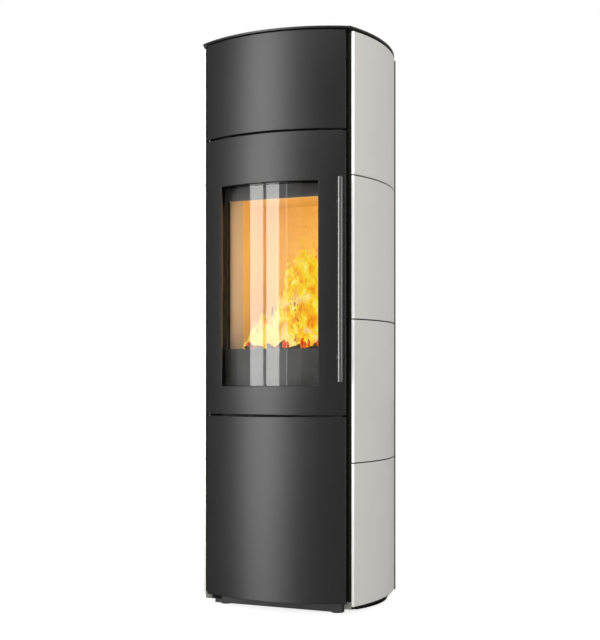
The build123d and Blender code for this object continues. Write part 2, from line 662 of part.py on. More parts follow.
def tile(row):
    """One right-hand tile: curved face, rounded arrises, hook slots behind."""
    low = tile_bottom(row)
    body = side_sheet(0, TILE_THICKNESS, TILE_FRONT_Y, TILE_REAR_Y, low, low + TILE_HEIGHT)
    outer = body.faces().filter_by(GeomType.CYLINDER).sort_by(Axis.X)[-1]
    body = fillet(outer.edges(), TILE_ARRIS)
    for y in hook_places():
        deep = side_x(TILE_THICKNESS, y) + TILE_SLOT_DEPTH
        front = y - TILE_SLOT_WIDTH / 2
        rear = y + TILE_SLOT_WIDTH / 2
        top = slot_top(row)
        body -= block(WALL_X, deep, front, rear, top - TILE_SLOT_HEIGHT, top)
    return body


def tile_hooks():
    """Angle hooks on the walls, with a tongue in each tile's slots."""
    hooks = []
    for row in range(TILE_COUNT):
        top = slot_top(row) - HOOK_CLEARANCE
        for y in hook_places():
            front = y - HOOK_WIDTH / 2
            rear = y + HOOK_WIDTH / 2
            reach = side_x(TILE_THICKNESS, y) + TILE_SLOT_DEPTH - HOOK_END_GAP
            tongue = block(WALL_X, reach, front, rear, top - HOOK_THICKNESS, top)
            inner = WALL_X + HOOK_THICKNESS
            flange = block(WALL_X, inner, front, rear, top - HOOK_FLANGE, top)
            hooks.append(tongue + flange)
    return both_sides(hooks)


def tile_strips():
    """Dark fibre strips that bed each tile on the one below."""
    front = TILE_FRONT_Y + TILE_STRIP_INSET
    rear = TILE_REAR_Y - TILE_STRIP_INSET
    strips = []
    for row in range(1, TILE_COUNT):
        top = tile_bottom(row)
        strips.append(side_sheet(TILE_STRIP_INSET, TILE_THICKNESS, front, rear, top - TILE_GAP, top))
    return both_sides(strips)


# ---- bowed front ------------------------------------------------------------
def bowed_tray(bottom, top):
    """A bowed panel with flanges folded back on all four edges."""
    tray = bowed(FRONT_RADIUS, PANEL_INNER_RADIUS, FRONT_HALF_WIDTH, bottom, top)
    rear = CHORD_Y + PANEL_RETURN
    for side in (-1, 1):
        tray += block(side * SKIN_X, side * FRONT_HALF_WIDTH, CHORD_Y, rear, bottom, top)
    for low in (bottom, top - PANEL_SHEET):
        lip_radius = FRONT_RADIUS - PANEL_EDGE
        tray += bowed(PANEL_INNER_RADIUS, lip_radius, SKIN_X, low, low + PANEL_SHEET)
    return tray


def pin_relief(bottom, top):
    """A hole for a hinge pin through a tray's folded edges, not its skin."""
    hole = upright(PIN_HOLE_IN_SHEET, HINGE_X, HINGE_Y, bottom, top)
    return hole & bow_backed(PANEL_INNER_RADIUS, SKIN_X, BEHIND, bottom, top)


def upper_front_panel():
    """Fixed bowed panel over the fire door."""
    panel = bowed_tray(UPPER_PANEL_BOTTOM, PANEL_TOP)
    return panel - pin_relief(UPPER_PANEL_BOTTOM, UPPER_PANEL_BOTTOM + PANEL_SHEET)


def upper_panel_brackets():
    """Angles that hold the upper panel's end flanges on the corner posts."""
    outer = SKIN_X
    inner = WALL_X + MATE
    half = BRACKET_HEIGHT / 2
    angles = []
    for z in (UPPER_PANEL_BOTTOM + BRACKET_INSET, PANEL_TOP - BRACKET_INSET):
        front = front_y(PANEL_INNER_RADIUS, outer) + MATE
        arm = block(outer - SHEET, outer, front, POST_FRONT_Y, z - half, z + half)
        pad = block(inner, outer, POST_FRONT_Y - SHEET, POST_FRONT_Y, z - half, z + half)
        angles.append(arm + pad)
    return both_sides(angles)


# ---- fire door --------------------------------------------------------------
def door_skin():
    """Bowed door skin; its window has an edge turned inwards to the glass."""
    skin = bowed_tray(DOOR_BOTTOM, DOOR_TOP)
    lip = behind_window(PANEL_INNER_RADIUS, GLASS_RADIUS + MATE, PANEL_SHEET)
    skin = skin + lip - window_cutter(0)
    skin -= pin_relief(DOOR_BOTTOM, DOOR_BOTTOM + PANEL_SHEET)
    return skin - pin_relief(DOOR_TOP - PANEL_SHEET, DOOR_TOP)


def hinge_bosses(bottom, top):
    """Round bosses for the pins at both ends of a door's hinge side."""
    length = PIN_ENGAGEMENT + BOSS_RADIUS
    lower = upright(BOSS_RADIUS, HINGE_X, HINGE_Y, bottom, bottom + length)
    return lower + upright(BOSS_RADIUS, HINGE_X, HINGE_Y, top - length, top)


def pin_bores(bottom, top):
    """Blind running bores for the pins, from both ends of a door's frame."""
    radius = PIN_RADIUS + PIN_CLEARANCE
    depth = PIN_ENGAGEMENT + 1
    lower = upright(radius, HINGE_X, HINGE_Y, bottom - 1, bottom + depth)
    return lower + upright(radius, HINGE_X, HINGE_Y, top - depth, top + 1)


def door_frame():
    """Cast frame: flat back, glass rebate, rope groove, hinge bosses and ribs."""
    radius = PANEL_INNER_RADIUS - MATE
    frame = bow_backed(radius, FRAME_HALF_WIDTH, FRAME_REAR_Y, FRAME_BOTTOM, FRAME_TOP)
    frame -= window_cutter(FRAME_STEP)
    frame -= behind_window(FRONT_RADIUS, GLASS_RADIUS - GLASS - GLASS_ROPE, GLASS_LAP + MATE)
    frame -= seal_ring(SEAL_WIDTH + 2 * MATE, FRAME_REAR_Y - SEAL_GROOVE, FRAME_REAR_Y + 1)
    inner_radius = radius - FRAME_WALL
    inner_rear = FRAME_REAR_Y - SEAL_GROOVE - FRAME_WALL
    pocket_half = (WINDOW_HALF_WIDTH - FRAME_WALL) / 2
    lower_pocket = (FRAME_BOTTOM + POCKET_INSET, WINDOW_BOTTOM - GLASS_LAP - POCKET_TO_GLASS)
    upper_pocket = (WINDOW_TOP + GLASS_LAP + POCKET_TO_GLASS, FRAME_TOP - POCKET_INSET)
    for low, high in (lower_pocket, upper_pocket):
        for middle in (-pocket_half - FRAME_WALL / 2, pocket_half + FRAME_WALL / 2):
            x0 = middle - pocket_half
            cut = block(x0, x0 + 2 * pocket_half, AHEAD, inner_rear, low, high)
            frame -= cut & bow_backed(inner_radius, FRAME_HALF_WIDTH, inner_rear, low, high)
    frame += hinge_bosses(FRAME_BOTTOM, FRAME_TOP)
    return frame - pin_bores(FRAME_BOTTOM, FRAME_TOP)


def seal_ring(width, front, rear):
    """A ring that follows the door frame's edge, seen from the front."""
    half = FRAME_HALF_WIDTH - SEAL_INSET
    low = FRAME_BOTTOM + SEAL_INSET
    high = FRAME_TOP - SEAL_INSET
    grow = width / 2
    corner = SEAL_WIDTH + grow
    outer = round_window(half + grow, low - grow, high + grow, corner, front, rear)
    inner_corner = SEAL_WIDTH - grow
    return outer - round_window(
        half - grow, low + grow, high - grow, inner_corner, front - 1, rear + 1
    )


def door_seal():
    """Rope seal in the frame's groove, up to the face plate."""
    return seal_ring(SEAL_WIDTH, FRAME_REAR_Y - SEAL_GROOVE, FACE_PLATE_Y - FIT)


def door_glass():
    """Curved heat-proof glass behind the window."""
    return behind_window(GLASS_RADIUS, GLASS_RADIUS - GLASS, GLASS_LAP)


def glass_tape():
    """Flat sealing tape between the glass and the frame's rebate."""
    outer = GLASS_RADIUS - GLASS
    tape = behind_window(outer, outer - GLASS_ROPE, GLASS_LAP)
    return tape - window_cutter(GLASS_LAP - GLASS_TAPE_WIDTH)


def glass_clips():
    """Spring clips between the skin and the glass, down both sides."""
    span = WINDOW_TOP - WINDOW_BOTTOM
    thickness = PANEL_INNER_RADIUS - GLASS_RADIUS - 2 * MATE
    depth = (GLASS_RADIUS + PANEL_INNER_RADIUS) / 2
    reach = WINDOW_HALF_WIDTH + PANEL_SHEET + CLIP_WIDTH / 2 + CLIP_GAP
    clips = []
    for side in (-1, 1):
        angle = degrees(asin((WINDOW_X + side * reach) / depth))
        for index in range(CLIP_COUNT):
            z = WINDOW_BOTTOM + span * (index + 0.5) / CLIP_COUNT
            place = Pos(0, FRONT_CENTRE_Y, z) * Rot(0, 0, angle) * Pos(0, -depth, 0)
            clips.append(place * Box(CLIP_WIDTH, thickness, CLIP_LENGTH))
    return clips


def handle_bar():
    """Round stainless bar with square-cut, lightly eased ends."""
    bar = upright(HANDLE_RADIUS, HANDLE_X, HANDLE_Y, HANDLE_BOTTOM, HANDLE_TOP)
    return chamfer(bar.edges().filter_by(GeomType.CIRCLE), HANDLE_END_EASE)


def handle_arms():
    """Two short arms between the bar and the door skin."""
    arms = []
    for z in (HANDLE_BOTTOM + HANDLE_ARM_INSET, HANDLE_TOP - HANDLE_ARM_INSET):
        arm = along_y(HANDLE_ARM_RADIUS, HANDLE_ARM_X, z, HANDLE_Y, CHORD_Y)
        low = z - HANDLE_RADIUS
        high = z + HANDLE_RADIUS
        arm -= upright(HANDLE_RADIUS, HANDLE_X, HANDLE_Y, low, high)
        arm -= bow_backed(FRONT_RADIUS, FRONT_HALF_WIDTH, BEHIND, low, high)
        arms.append(arm.solids().sort_by(Axis.Y)[-1])
    return arms


def roller_heights():
    """Heights of the two roller catches."""
    return (WINDOW_MIDDLE_Z - ROLLER_SPREAD, WINDOW_MIDDLE_Z + ROLLER_SPREAD)


def roller(z):
    """A catch roller on its axle, free to spin."""
    low = z - ROLLER_LENGTH / 2
    high = z + ROLLER_LENGTH / 2
    wheel = upright(ROLLER_RADIUS, ROLLER_X, ROLLER_Y, low, high)
    wheel = chamfer(wheel.edges().filter_by(GeomType.CIRCLE), ROLLER_EASE)
    return wheel - upright(AXLE_RADIUS + AXLE_CLEARANCE, ROLLER_X, ROLLER_Y, low - 1, high + 1)


def roller_forks():
    """Forks on the door frame's back, each with its axle."""
    forks = []
    half = ROLLER_LENGTH / 2 + FIT
    outer = half + FORK_THICKNESS
    x0 = ROLLER_X - FORK_WIDTH / 2
    x1 = ROLLER_X + FORK_WIDTH / 2
    rear = ROLLER_Y + FORK_WIDTH / 2
    front = ROLLER_Y - ROLLER_RADIUS - FIT
    for z in roller_heights():
        fork = block(x0, x1, FRAME_REAR_Y, rear, z - outer, z + outer)
        fork -= block(x0 - 1, x1 + 1, front, rear + 1, z - half, z + half)
        fork += upright(AXLE_RADIUS, ROLLER_X, ROLLER_Y, z - outer, z + outer)
        forks.append(fork)
    return forks


def catch_leaves():
    """Spring leaves on the right wall that the catch rollers press on."""
    leaves = []
    x0 = ROLLER_X + ROLLER_RADIUS + SLOT_SIDE
    half = ROLLER_LENGTH / 2
    for z in roller_heights():
        front = ROLLER_Y - LEAF_LENGTH / 4
        leaves.append(block(x0, WALL_INNER_X, front, front + LEAF_LENGTH, z - half, z + half))
    return leaves


# ---- hinges -----------------------------------------------------------------
def hinge_bracket(ear_bottom, leaf_bottom, leaf_top, back_y):
    """An ear round the pin, on an arm with a leaf screwed to the body."""
    ear_top = ear_bottom + HINGE_PLATE
    inner = MATE - WALL_INNER_X
    leaf_x = inner + HINGE_LEAF_WIDTH
    ear = upright(HINGE_EAR_RADIUS, HINGE_X, HINGE_Y, ear_bottom, ear_top)
    arm = block(HINGE_X, leaf_x, HINGE_Y, POST_FRONT_Y - FIT, ear_bottom, ear_top)
    neck = block(inner, leaf_x, HINGE_Y, back_y, ear_bottom, ear_top)
    leaf = block(inner, leaf_x, back_y - HINGE_PLATE, back_y, leaf_bottom, leaf_top)
    hole = upright(PIN_RADIUS, HINGE_X, HINGE_Y, ear_bottom - 1, ear_top + 1)
    return ear + arm + neck + leaf - hole


def ear_bottoms():
    """Heights of the hinge ears: bottom, between the doors, top."""
    bottom = LOWER_DOOR_BOTTOM - FIT - HINGE_PLATE
    middle = DOOR_BOTTOM_LINE - HINGE_PLATE / 2
    return (bottom, middle, UPPER_PANEL_BOTTOM + PANEL_SHEET + MATE)


def hinge_brackets():
    """Three brackets: under the lower door, between the doors, over the fire door."""
    bottom, middle, top = ear_bottoms()
    plinth_y = CHORD_Y + BASE_SETBACK - PLINTH_SHEET
    return [
        hinge_bracket(bottom, CORNER_TAB_BOTTOM, bottom + HINGE_PLATE, plinth_y),
        hinge_bracket(
            middle, middle - HINGE_LEAF_HEIGHT, middle + HINGE_PLATE, FACE_PLATE_Y
        ),
        hinge_bracket(top, top, top + HINGE_LEAF_HEIGHT, FACE_PLATE_Y),
    ]


def hinge_pins():
    """Three pins pressed into the ears; the middle one serves both doors."""
    bottom, middle, top = ear_bottoms()
    reach = PIN_ENGAGEMENT - 1
    spans = (
        (bottom, LOWER_FRAME_BOTTOM + reach),
        (LOWER_FRAME_TOP - reach, FRAME_BOTTOM + reach),
        (FRAME_TOP - reach, top + HINGE_PLATE),
    )
    return [upright(PIN_RADIUS, HINGE_X, HINGE_Y, low, high) for low, high in spans]


# ---- lower door -------------------------------------------------------------
def lower_door_skin():
    """Plain bowed skin of the lower door."""
    skin = bowed_tray(LOWER_DOOR_BOTTOM, LOWER_DOOR_TOP)
    skin -= pin_relief(LOWER_DOOR_BOTTOM, LOWER_DOOR_BOTTOM + PANEL_SHEET)
    return skin - pin_relief(LOWER_DOOR_TOP - PANEL_SHEET, LOWER_DOOR_TOP)


def lower_door_frame():
    """Stiffening frame behind the lower door's skin, with hinge bosses."""
    radius = PANEL_INNER_RADIUS - MATE
    low = LOWER_FRAME_BOTTOM
    high = LOWER_FRAME_TOP
    frame = bow_backed(radius, FRAME_HALF_WIDTH, LOWER_FRAME_REAR_Y, low, high)
    inner = FRAME_HALF_WIDTH - LOWER_FRAME_WIDTH
    low += LOWER_FRAME_WIDTH
    high -= LOWER_FRAME_WIDTH
    frame -= round_window(inner, low, high, WINDOW_CORNER, AHEAD, BEHIND)
    frame += hinge_bosses(LOWER_FRAME_BOTTOM, LOWER_FRAME_TOP)
    return frame - pin_bores(LOWER_FRAME_BOTTOM, LOWER_FRAME_TOP)


def magnet_catches():
    """Two magnets on the right wall that hold the lower door shut."""
    magnets = []
    front = LOWER_FRAME_REAR_Y + FIT
    half = MAGNET_HEIGHT / 2
    for z in (LOWER_DOOR_BOTTOM + MAGNET_INSET, LOWER_DOOR_TOP - MAGNET_INSET):
        x0 = WALL_INNER_X - MAGNET_WIDTH
        magnets.append(block(x0, WALL_INNER_X, front, front + MAGNET_DEPTH, z - half, z + half))
    return magnets


# ---- firebox ----------------------------------------------------------------
def face_plate():
    """Plate round the fire opening, folded back at its sides, with two roller slots."""
    half = WALL_INNER_X
    rear = FACE_PLATE_Y + FACE_PLATE
    plate = block(-half, half, FACE_PLATE_Y, rear, FACE_PLATE_BOTTOM, FACE_PLATE_TOP)
    plate -= round_window(
        FIRE_HALF_WIDTH, FIRE_BOTTOM, FIRE_TOP, FIRE_CORNER, FACE_PLATE_Y - 1, rear + 1
    )
    outer = FIRE_HALF_WIDTH + FIRE_RETURN_SHEET
    edge = block(FIRE_HALF_WIDTH, outer, rear, rear + FIRE_RETURN, FIRE_BOTTOM, FIRE_TOP)
    plate = plate + edge + left_of(edge)
    reach = ROLLER_RADIUS + SLOT_SIDE
    tall = ROLLER_LENGTH / 2 + FIT + FORK_THICKNESS + SLOT_SIDE
    for z in roller_heights():
        x0 = ROLLER_X - reach
        x1 = ROLLER_X + reach
        plate -= block(x0, x1, FACE_PLATE_Y - 1, rear + 1, z - tall, z + tall)
    return plate


def firebox_shell():
    """Welded box behind the face plate, with ledges and a smoke outlet."""
    outer = block(-BOX_HALF_WIDTH, BOX_HALF_WIDTH, BOX_FRONT_Y, BOX_REAR_Y, BOX_BOTTOM, BOX_TOP)
    inner = block(
        -BOX_INNER_X,
        BOX_INNER_X,
        BOX_FRONT_Y - 1,
        BOX_INNER_REAR_Y,
        BOX_BOTTOM + BOX_SHEET,
        BOX_TOP - BOX_SHEET,
    )
    shell = outer - inner
    shell -= upright(ELBOW_RADIUS + FIT, 0, ELBOW_Y, BOX_TOP - BOX_SHEET - 1, BOX_TOP + 1)
    port_y = BOX_REAR_Y - AIR_PORT_INSET
    shell -= upright(AIR_PORT_RADIUS, 0, port_y, BOX_BOTTOM - 1, BOX_BOTTOM + BOX_SHEET + 1)
    for side in (-1, 1):
        x0 = side * (BOX_INNER_X - LEDGE)
        x1 = side * BOX_INNER_X
        for top in (HEARTH_BOTTOM, BAFFLE_PLATE_HEIGHT):
            shell += block(x0, x1, BOX_FRONT_Y, BOX_INNER_REAR_Y, top - BOX_SHEET, top)
    return shell


def hearth_slab():
    """Floor slab of the firebox, with a stepped opening for the grate."""
    half = BOX_INNER_X - JOINT
    front = BOX_FRONT_Y + JOINT
    slab = block(-half, half, front, BOX_INNER_REAR_Y - JOINT, HEARTH_BOTTOM, HEARTH_TOP)
    wide = GRATE_WIDTH / 2 + JOINT
    deep = GRATE_DEPTH / 2 + JOINT
    y = BOX_MIDDLE_Y
    seat = HEARTH_TOP - GRATE_THICKNESS
    slab -= block(-wide, wide, y - deep, y + deep, seat, HEARTH_TOP + 1)
    wide -= GRATE_LEDGE
    deep -= GRATE_LEDGE
    return slab - block(-wide, wide, y - deep, y + deep, HEARTH_BOTTOM - 1, seat + 1)


def grate():
    """Cast grate: a rim and parallel bars, flush with the hearth."""
    wide = GRATE_WIDTH / 2
    deep = GRATE_DEPTH / 2
    y = BOX_MIDDLE_Y
    low = HEARTH_TOP - GRATE_THICKNESS
    rim = block(-wide, wide, y - deep, y + deep, low, HEARTH_TOP)
    inner_x = wide - GRATE_RIM
    inner_y = deep - GRATE_RIM
    rim -= block(-inner_x, inner_x, y - inner_y, y + inner_y, low - 1, HEARTH_TOP + 1)
    step = 2 * inner_x / (GRATE_BARS + 1)
    half = GRATE_BAR_WIDTH / 2
    for index in range(GRATE_BARS):
        x = (index + 1) * step - inner_x
        rim += block(x - half, x + half, y - inner_y, y + inner_y, low, HEARTH_TOP)
    return rim


def ash_pan():
    """Folded pan under the grate, lifted out once the grate is out."""
    low = BOX_BOTTOM + BOX_SHEET
    high = low + ASH_PAN_HEIGHT
    wide = ASH_PAN_WIDTH / 2
    deep = ASH_PAN_DEPTH / 2
    y = BOX_MIDDLE_Y - ASH_PAN_FORWARD
    pan = block(-wide, wide, y - deep, y + deep, low, high)
    rim_x = wide + ASH_PAN_RIM
    rim_y = deep + ASH_PAN_RIM
    pan += block(-rim_x, rim_x, y - rim_y, y + rim_y, high - ASH_PAN_WALL, high)
    wide -= ASH_PAN_WALL
    deep -= ASH_PAN_WALL
    return pan - block(-wide, wide, y - deep, y + deep, low + ASH_PAN_WALL, high + 1)


def lining_rear():
    """Rear fire board."""
    half = BOX_INNER_X - JOINT
    rear = BOX_INNER_REAR_Y - JOINT
    return block(-half, half, rear - LINING, rear, HEARTH_TOP, LINING_TOP)


def lining_sides():
    """Left and right fire boards, behind the folded edges of the fire opening."""
    rear = BOX_INNER_REAR_Y - 2 * JOINT - LINING
    outer = BOX_INNER_X - JOINT
    inner = outer - SIDE_LINING
    front = BOX_FRONT_Y + FIRE_RETURN + JOINT
    return both_sides([block(inner, outer, front, rear, HEARTH_TOP, LINING_TOP)])


def baffle_board():
    """Fire board laid on the side boards; smoke passes in front of it."""
    half = BOX_INNER_X - JOINT
    front = BOX_FRONT_Y + BAFFLE_FRONT_GAP
    rear = BOX_INNER_REAR_Y - JOINT
    return block(-half, half, front, rear, LINING_TOP, LINING_TOP + BAFFLE_BOARD)


def baffle_plate():
    """Steel plate on the upper ledges; smoke passes behind it."""
    half = BOX_INNER_X - JOINT
    low = BAFFLE_PLATE_HEIGHT
    front = BOX_FRONT_Y + JOINT
    rear = BOX_INNER_REAR_Y - BAFFLE_REAR_GAP
    return block(-half, half, front, rear, low, low + BAFFLE_PLATE)


# ---- heat store and smoke way -----------------------------------------------
def elbow_path(start_z, end_y):
    """The elbow's middle line: up, a quarter bend, then to the back."""
    turn_z = FLUE_HEIGHT - ELBOW_BEND
    turn_y = ELBOW_Y + ELBOW_BEND
    rise = Line((0, ELBOW_Y, start_z), (0, ELBOW_Y, turn_z))
    corner = sqrt(0.5) * ELBOW_BEND
    middle = (0, turn_y - corner, turn_z + corner)
    bend = ThreePointArc((0, ELBOW_Y, turn_z), middle, (0, turn_y, FLUE_HEIGHT))
    return [rise, bend, Line((0, turn_y, FLUE_HEIGHT), (0, end_y, FLUE_HEIGHT))]


def elbow_solid(radius, start_z, end_y):
    """A round bar along the elbow's middle line."""
    rise, bend, run = elbow_path(start_z, end_y)
    bar = sweep(Plane((0, ELBOW_Y, start_z)) * Circle(radius), Wire([rise, bend, run]))
    return bar


def smoke_elbow():
    """Pipe from the firebox's top to the rear spigot."""
    start = BOX_TOP - BOX_SHEET
    end = BACK_Y + ELBOW_LAP
    pipe = elbow_solid(ELBOW_RADIUS, start, end)
    return pipe - elbow_solid(ELBOW_RADIUS - ELBOW_WALL, start, end)


def heat_store_blocks():
    """Stacked half blocks round the smoke elbow."""
    front = CHORD_Y + STORE_FRONT_SETBACK
    rear = WALL_REAR_Y - STORE_REAR_GAP
    hole = elbow_solid(ELBOW_RADIUS + ELBOW_CLEARANCE, BOX_TOP, rear + 1)
    blocks = []
    for layer in range(STORE_LAYERS):
        low = BOX_TOP + layer * STORE_LAYER_HEIGHT
        high = low + STORE_LAYER_HEIGHT
        half = block(0, STORE_HALF_WIDTH, front, rear, low, high) - hole
        blocks.append(half)
    return both_sides(blocks)


def spigot(radius, wall, z, front, reach):
    """A pipe stub with a round flange on the back sheet."""
    rear = BACK_Y + reach
    stub = along_y(radius, 0, z, front, rear)
    stub += along_y(radius + SPIGOT_FLANGE, 0, z, BACK_Y, BACK_Y + SPIGOT_FLANGE_SHEET)
    return stub - along_y(radius - wall, 0, z, front - 1, rear + 1)


def smoke_spigot():
    """Smoke outlet stub on the back."""
    return spigot(FLUE_RADIUS, FLUE_WALL, FLUE_HEIGHT, WALL_REAR_Y - FLUE_LAP, FLUE_REACH)


# ---- air supply -------------------------------------------------------------
def air_spigot():
    """Outside-air inlet that runs from the back into the air box."""
    front = BOX_REAR_Y - AIR_BOX_WALL - AIR_TUBE_LAP
    return spigot(AIR_RADIUS, AIR_WALL, AIR_HEIGHT, front, AIR_REACH)


def air_box():
    """Air box under the firebox, open at the top, with the control slot."""
    wide = AIR_BOX_HALF_WIDTH
    wall = AIR_BOX_WALL
    box = block(-wide, wide, AIR_BOX_FRONT_Y, BOX_REAR_Y, AIR_BOX_BOTTOM, BOX_BOTTOM)
    box -= block(
        wall - wide,
        wide - wall,
        AIR_BOX_FRONT_Y + wall,
        BOX_REAR_Y - wall,
        AIR_BOX_BOTTOM + wall,
        BOX_BOTTOM + 1,
    )
    box -= along_y(AIR_RADIUS + FIT, 0, AIR_HEIGHT, BOX_REAR_Y - wall - 1, BOX_REAR_Y + 1)
    return box - air_slot(0, AIR_BOX_FRONT_Y - 1, AIR_BOX_FRONT_Y + wall + 1)


def air_slot(x, front, rear):
    """The control slot's outline, cut from front to back."""
    outline = Plane.XZ * SlotOverall(AIR_SLOT_WIDTH, AIR_SLOT_HEIGHT)
    return Pos(x, front, AIR_SLOT_Z) * extrude(outline, -(rear - front))


def air_slide():
    """Control slide in front of the slot; open at rest, closed to the right."""
    rear = AIR_BOX_FRONT_Y - FIT
    front = rear - SLIDE_THICKNESS
    middle = -SLIDE_TRAVEL / 2
    half = SLIDE_WIDTH / 2
    tall = SLIDE_HEIGHT / 2
    plate = block(middle - half, middle + half, front, rear, AIR_SLOT_Z - tall, AIR_SLOT_Z + tall)
    return plate - air_slot(0, front - 1, rear + 1)


def air_knob():
    """Turned knob on a stem, screwed to the slide."""
    x = -SLIDE_TRAVEL / 2 - KNOB_OFFSET
    seat = AIR_BOX_FRONT_Y - FIT - SLIDE_THICKNESS
    neck = seat - KNOB_STEM_LENGTH
    knob = along_y(KNOB_RADIUS, x, AIR_SLOT_Z, neck - KNOB_LENGTH, neck)
    knob = fillet(knob.edges().filter_by(GeomType.CIRCLE), KNOB_RADIUS / 4)
    return knob + along_y(KNOB_STEM_RADIUS, x, AIR_SLOT_Z, neck, seat)


def slide_guides():
    """Two folded rails that hold the slide on the air box."""
    rear = AIR_BOX_FRONT_Y
    groove = rear - SLIDE_THICKNESS - 2 * FIT
    front = groove - GUIDE_WALL
    wide = AIR_BOX_HALF_WIDTH
    edge = AIR_SLOT_Z + SLIDE_HEIGHT / 2 + FIT
    back = block(-wide, wide, groove, rear, edge, edge + GUIDE_WALL)
    upper = back + block(-wide, wide, front, groove, edge - GUIDE_LIP, edge + GUIDE_WALL)
    return [upper, mirror(upper, Plane.XY.offset(AIR_SLOT_Z))]


# ---- lower compartment ------------------------------------------------------
def compartment_floor():
    """Floor sheet of the lower compartment, over the feet's nuts."""
    half = WALL_INNER_X
    front = CHORD_Y + FLOOR_SETBACK
    low = FLOOR_TOP - FLOOR_SHEET
    sheet = block(-half, half, front, WALL_REAR_Y, low, FLOOR_TOP)
    for side in (-1, 1):
        x0 = side * (half - FLOOR_SHEET)
        sheet += block(x0, side * half, front, WALL_REAR_Y - BASE_REAR_GAP, BASE_TOP, low)
    return sheet


# ---- writing ----------------------------------------------------------------
def write(name, shapes):
    """One file for each sub-part; several solids share a file as a group."""
    group = shapes if isinstance(shapes, list) else [shapes]
    solids = [solid for shape in group for solid in shape.solids()]
    whole = solids[0] if len(solids) == 1 else Compound(children=solids)
    export_step(whole, os.path.join("parts", name + ".step"))
    print(name, len(solids))


def sub_parts():
    """Every sub-part's name with its shapes."""
    parts = {
        "top_plate": top_plate(),
        "top_spacers": top_spacers(),
        "side_wall_right": side_wall(),
        "side_wall_left": left_of(side_wall()),
        "corner_post_right": corner_post(),
        "corner_post_left": left_of(corner_post()),
        "corner_tabs": corner_tabs(),
        "base_plate": base_plate(),
        "levelling_feet": levelling_feet(),
        "plinth": plinth(),
        "back_panel": back_panel(),
        "back_screws": back_screws(),
        "tile_hooks": tile_hooks(),
        "tile_strips": tile_strips(),
        "upper_front_panel": upper_front_panel(),
        "upper_panel_brackets": upper_panel_brackets(),
        "face_plate": face_plate(),
        "firebox_shell": firebox_shell(),
        "lining_rear": lining_rear(),
        "lining_sides": lining_sides(),
        "hearth_slab": hearth_slab(),
        "grate": grate(),
        "ash_pan": ash_pan(),
        "baffle_board": baffle_board(),
        "baffle_plate": baffle_plate(),
        "heat_store_blocks": heat_store_blocks(),
        "smoke_elbow": smoke_elbow(),
        "smoke_spigot": smoke_spigot(),
        "air_box": air_box(),
        "air_spigot": air_spigot(),
        "slide_guides": slide_guides(),
        "compartment_floor": compartment_floor(),
        "hinge_brackets": hinge_brackets(),
        "hinge_pins": hinge_pins(),
        "catch_leaves": catch_leaves(),
        "magnet_catches": magnet_catches(),
        "door_skin": door_skin(),
        "door_frame": door_frame(),
        "door_glass": door_glass(),
        "glass_tape": glass_tape(),
        "glass_clips": glass_clips(),
        "door_seal": door_seal(),
        "handle_bar": handle_bar(),
        "handle_arms": handle_arms(),
        "roller_forks": roller_forks(),
        "lower_door_skin": lower_door_skin(),
        "lower_door_frame": lower_door_frame(),
        "air_slide": air_slide(),
        "air_knob": air_knob(),
    }
    for row in range(TILE_COUNT):
        parts["tile_right_" + str(row + 1)] = tile(row)
        parts["tile_left_" + str(row + 1)] = left_of(tile(row))
    for name, z in zip(("roller_lower", "roller_upper"), roller_heights()):
        parts[name] = roller(z)
    return parts


os.makedirs("parts", exist_ok=True)
for part_name, part_shapes in sub_parts().items():
    write(part_name, part_shapes)
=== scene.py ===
# %% [markdown]
# # A tall tiled stove, dressed for its picture
#
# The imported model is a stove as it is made: a steel body, bowed front panels,
# a glazed fire door, four big tiles down each side, and boards round the fire.
# This lesson puts finishes on those parts, rolls the edges of the sheet metal,
# lays a fire, and lights the whole in a small studio.
#
# Everything is in metres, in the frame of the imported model: x to the right,
# y to the back, z up, with z = 0 on the floor.

from math import asin, cos, pi, radians, sin, sqrt

import bmesh
import bpy
from mathutils import Euler, Matrix, Vector, noise


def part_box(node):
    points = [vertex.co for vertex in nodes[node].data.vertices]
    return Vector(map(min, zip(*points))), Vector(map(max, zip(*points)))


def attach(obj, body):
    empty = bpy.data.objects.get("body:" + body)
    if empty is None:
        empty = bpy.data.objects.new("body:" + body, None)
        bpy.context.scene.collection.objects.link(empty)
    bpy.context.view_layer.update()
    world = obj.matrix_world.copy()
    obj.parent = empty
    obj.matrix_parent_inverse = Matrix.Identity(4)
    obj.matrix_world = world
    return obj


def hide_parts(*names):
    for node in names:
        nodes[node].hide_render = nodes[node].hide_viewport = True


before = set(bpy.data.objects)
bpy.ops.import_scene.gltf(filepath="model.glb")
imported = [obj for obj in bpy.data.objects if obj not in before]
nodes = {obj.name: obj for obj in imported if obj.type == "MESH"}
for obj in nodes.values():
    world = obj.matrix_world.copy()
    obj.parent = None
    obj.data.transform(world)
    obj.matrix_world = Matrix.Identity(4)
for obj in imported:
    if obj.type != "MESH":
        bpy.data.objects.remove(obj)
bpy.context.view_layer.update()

# %% [markdown]
# ## The camera
#
# The picture was taken from the front and well to the right, with the lens at
# a little over two fifths of the stove's height and held level, so the
# uprights stay parallel. A level camera would put the stove too high in the
# frame, so the lens is shifted and not tilted, as on a view camera.

# %% Camera
PICTURE_HEIGHT = 640  # pixels, the larger side
CAMERA_PLACE = Vector((1.4212, -3.3068, 0.681))
CAMERA_TURN = radians(23.23)
FOCAL_PIXELS = 1178.81
HORIZON_ROW = 376.01
SENSOR = 36.0

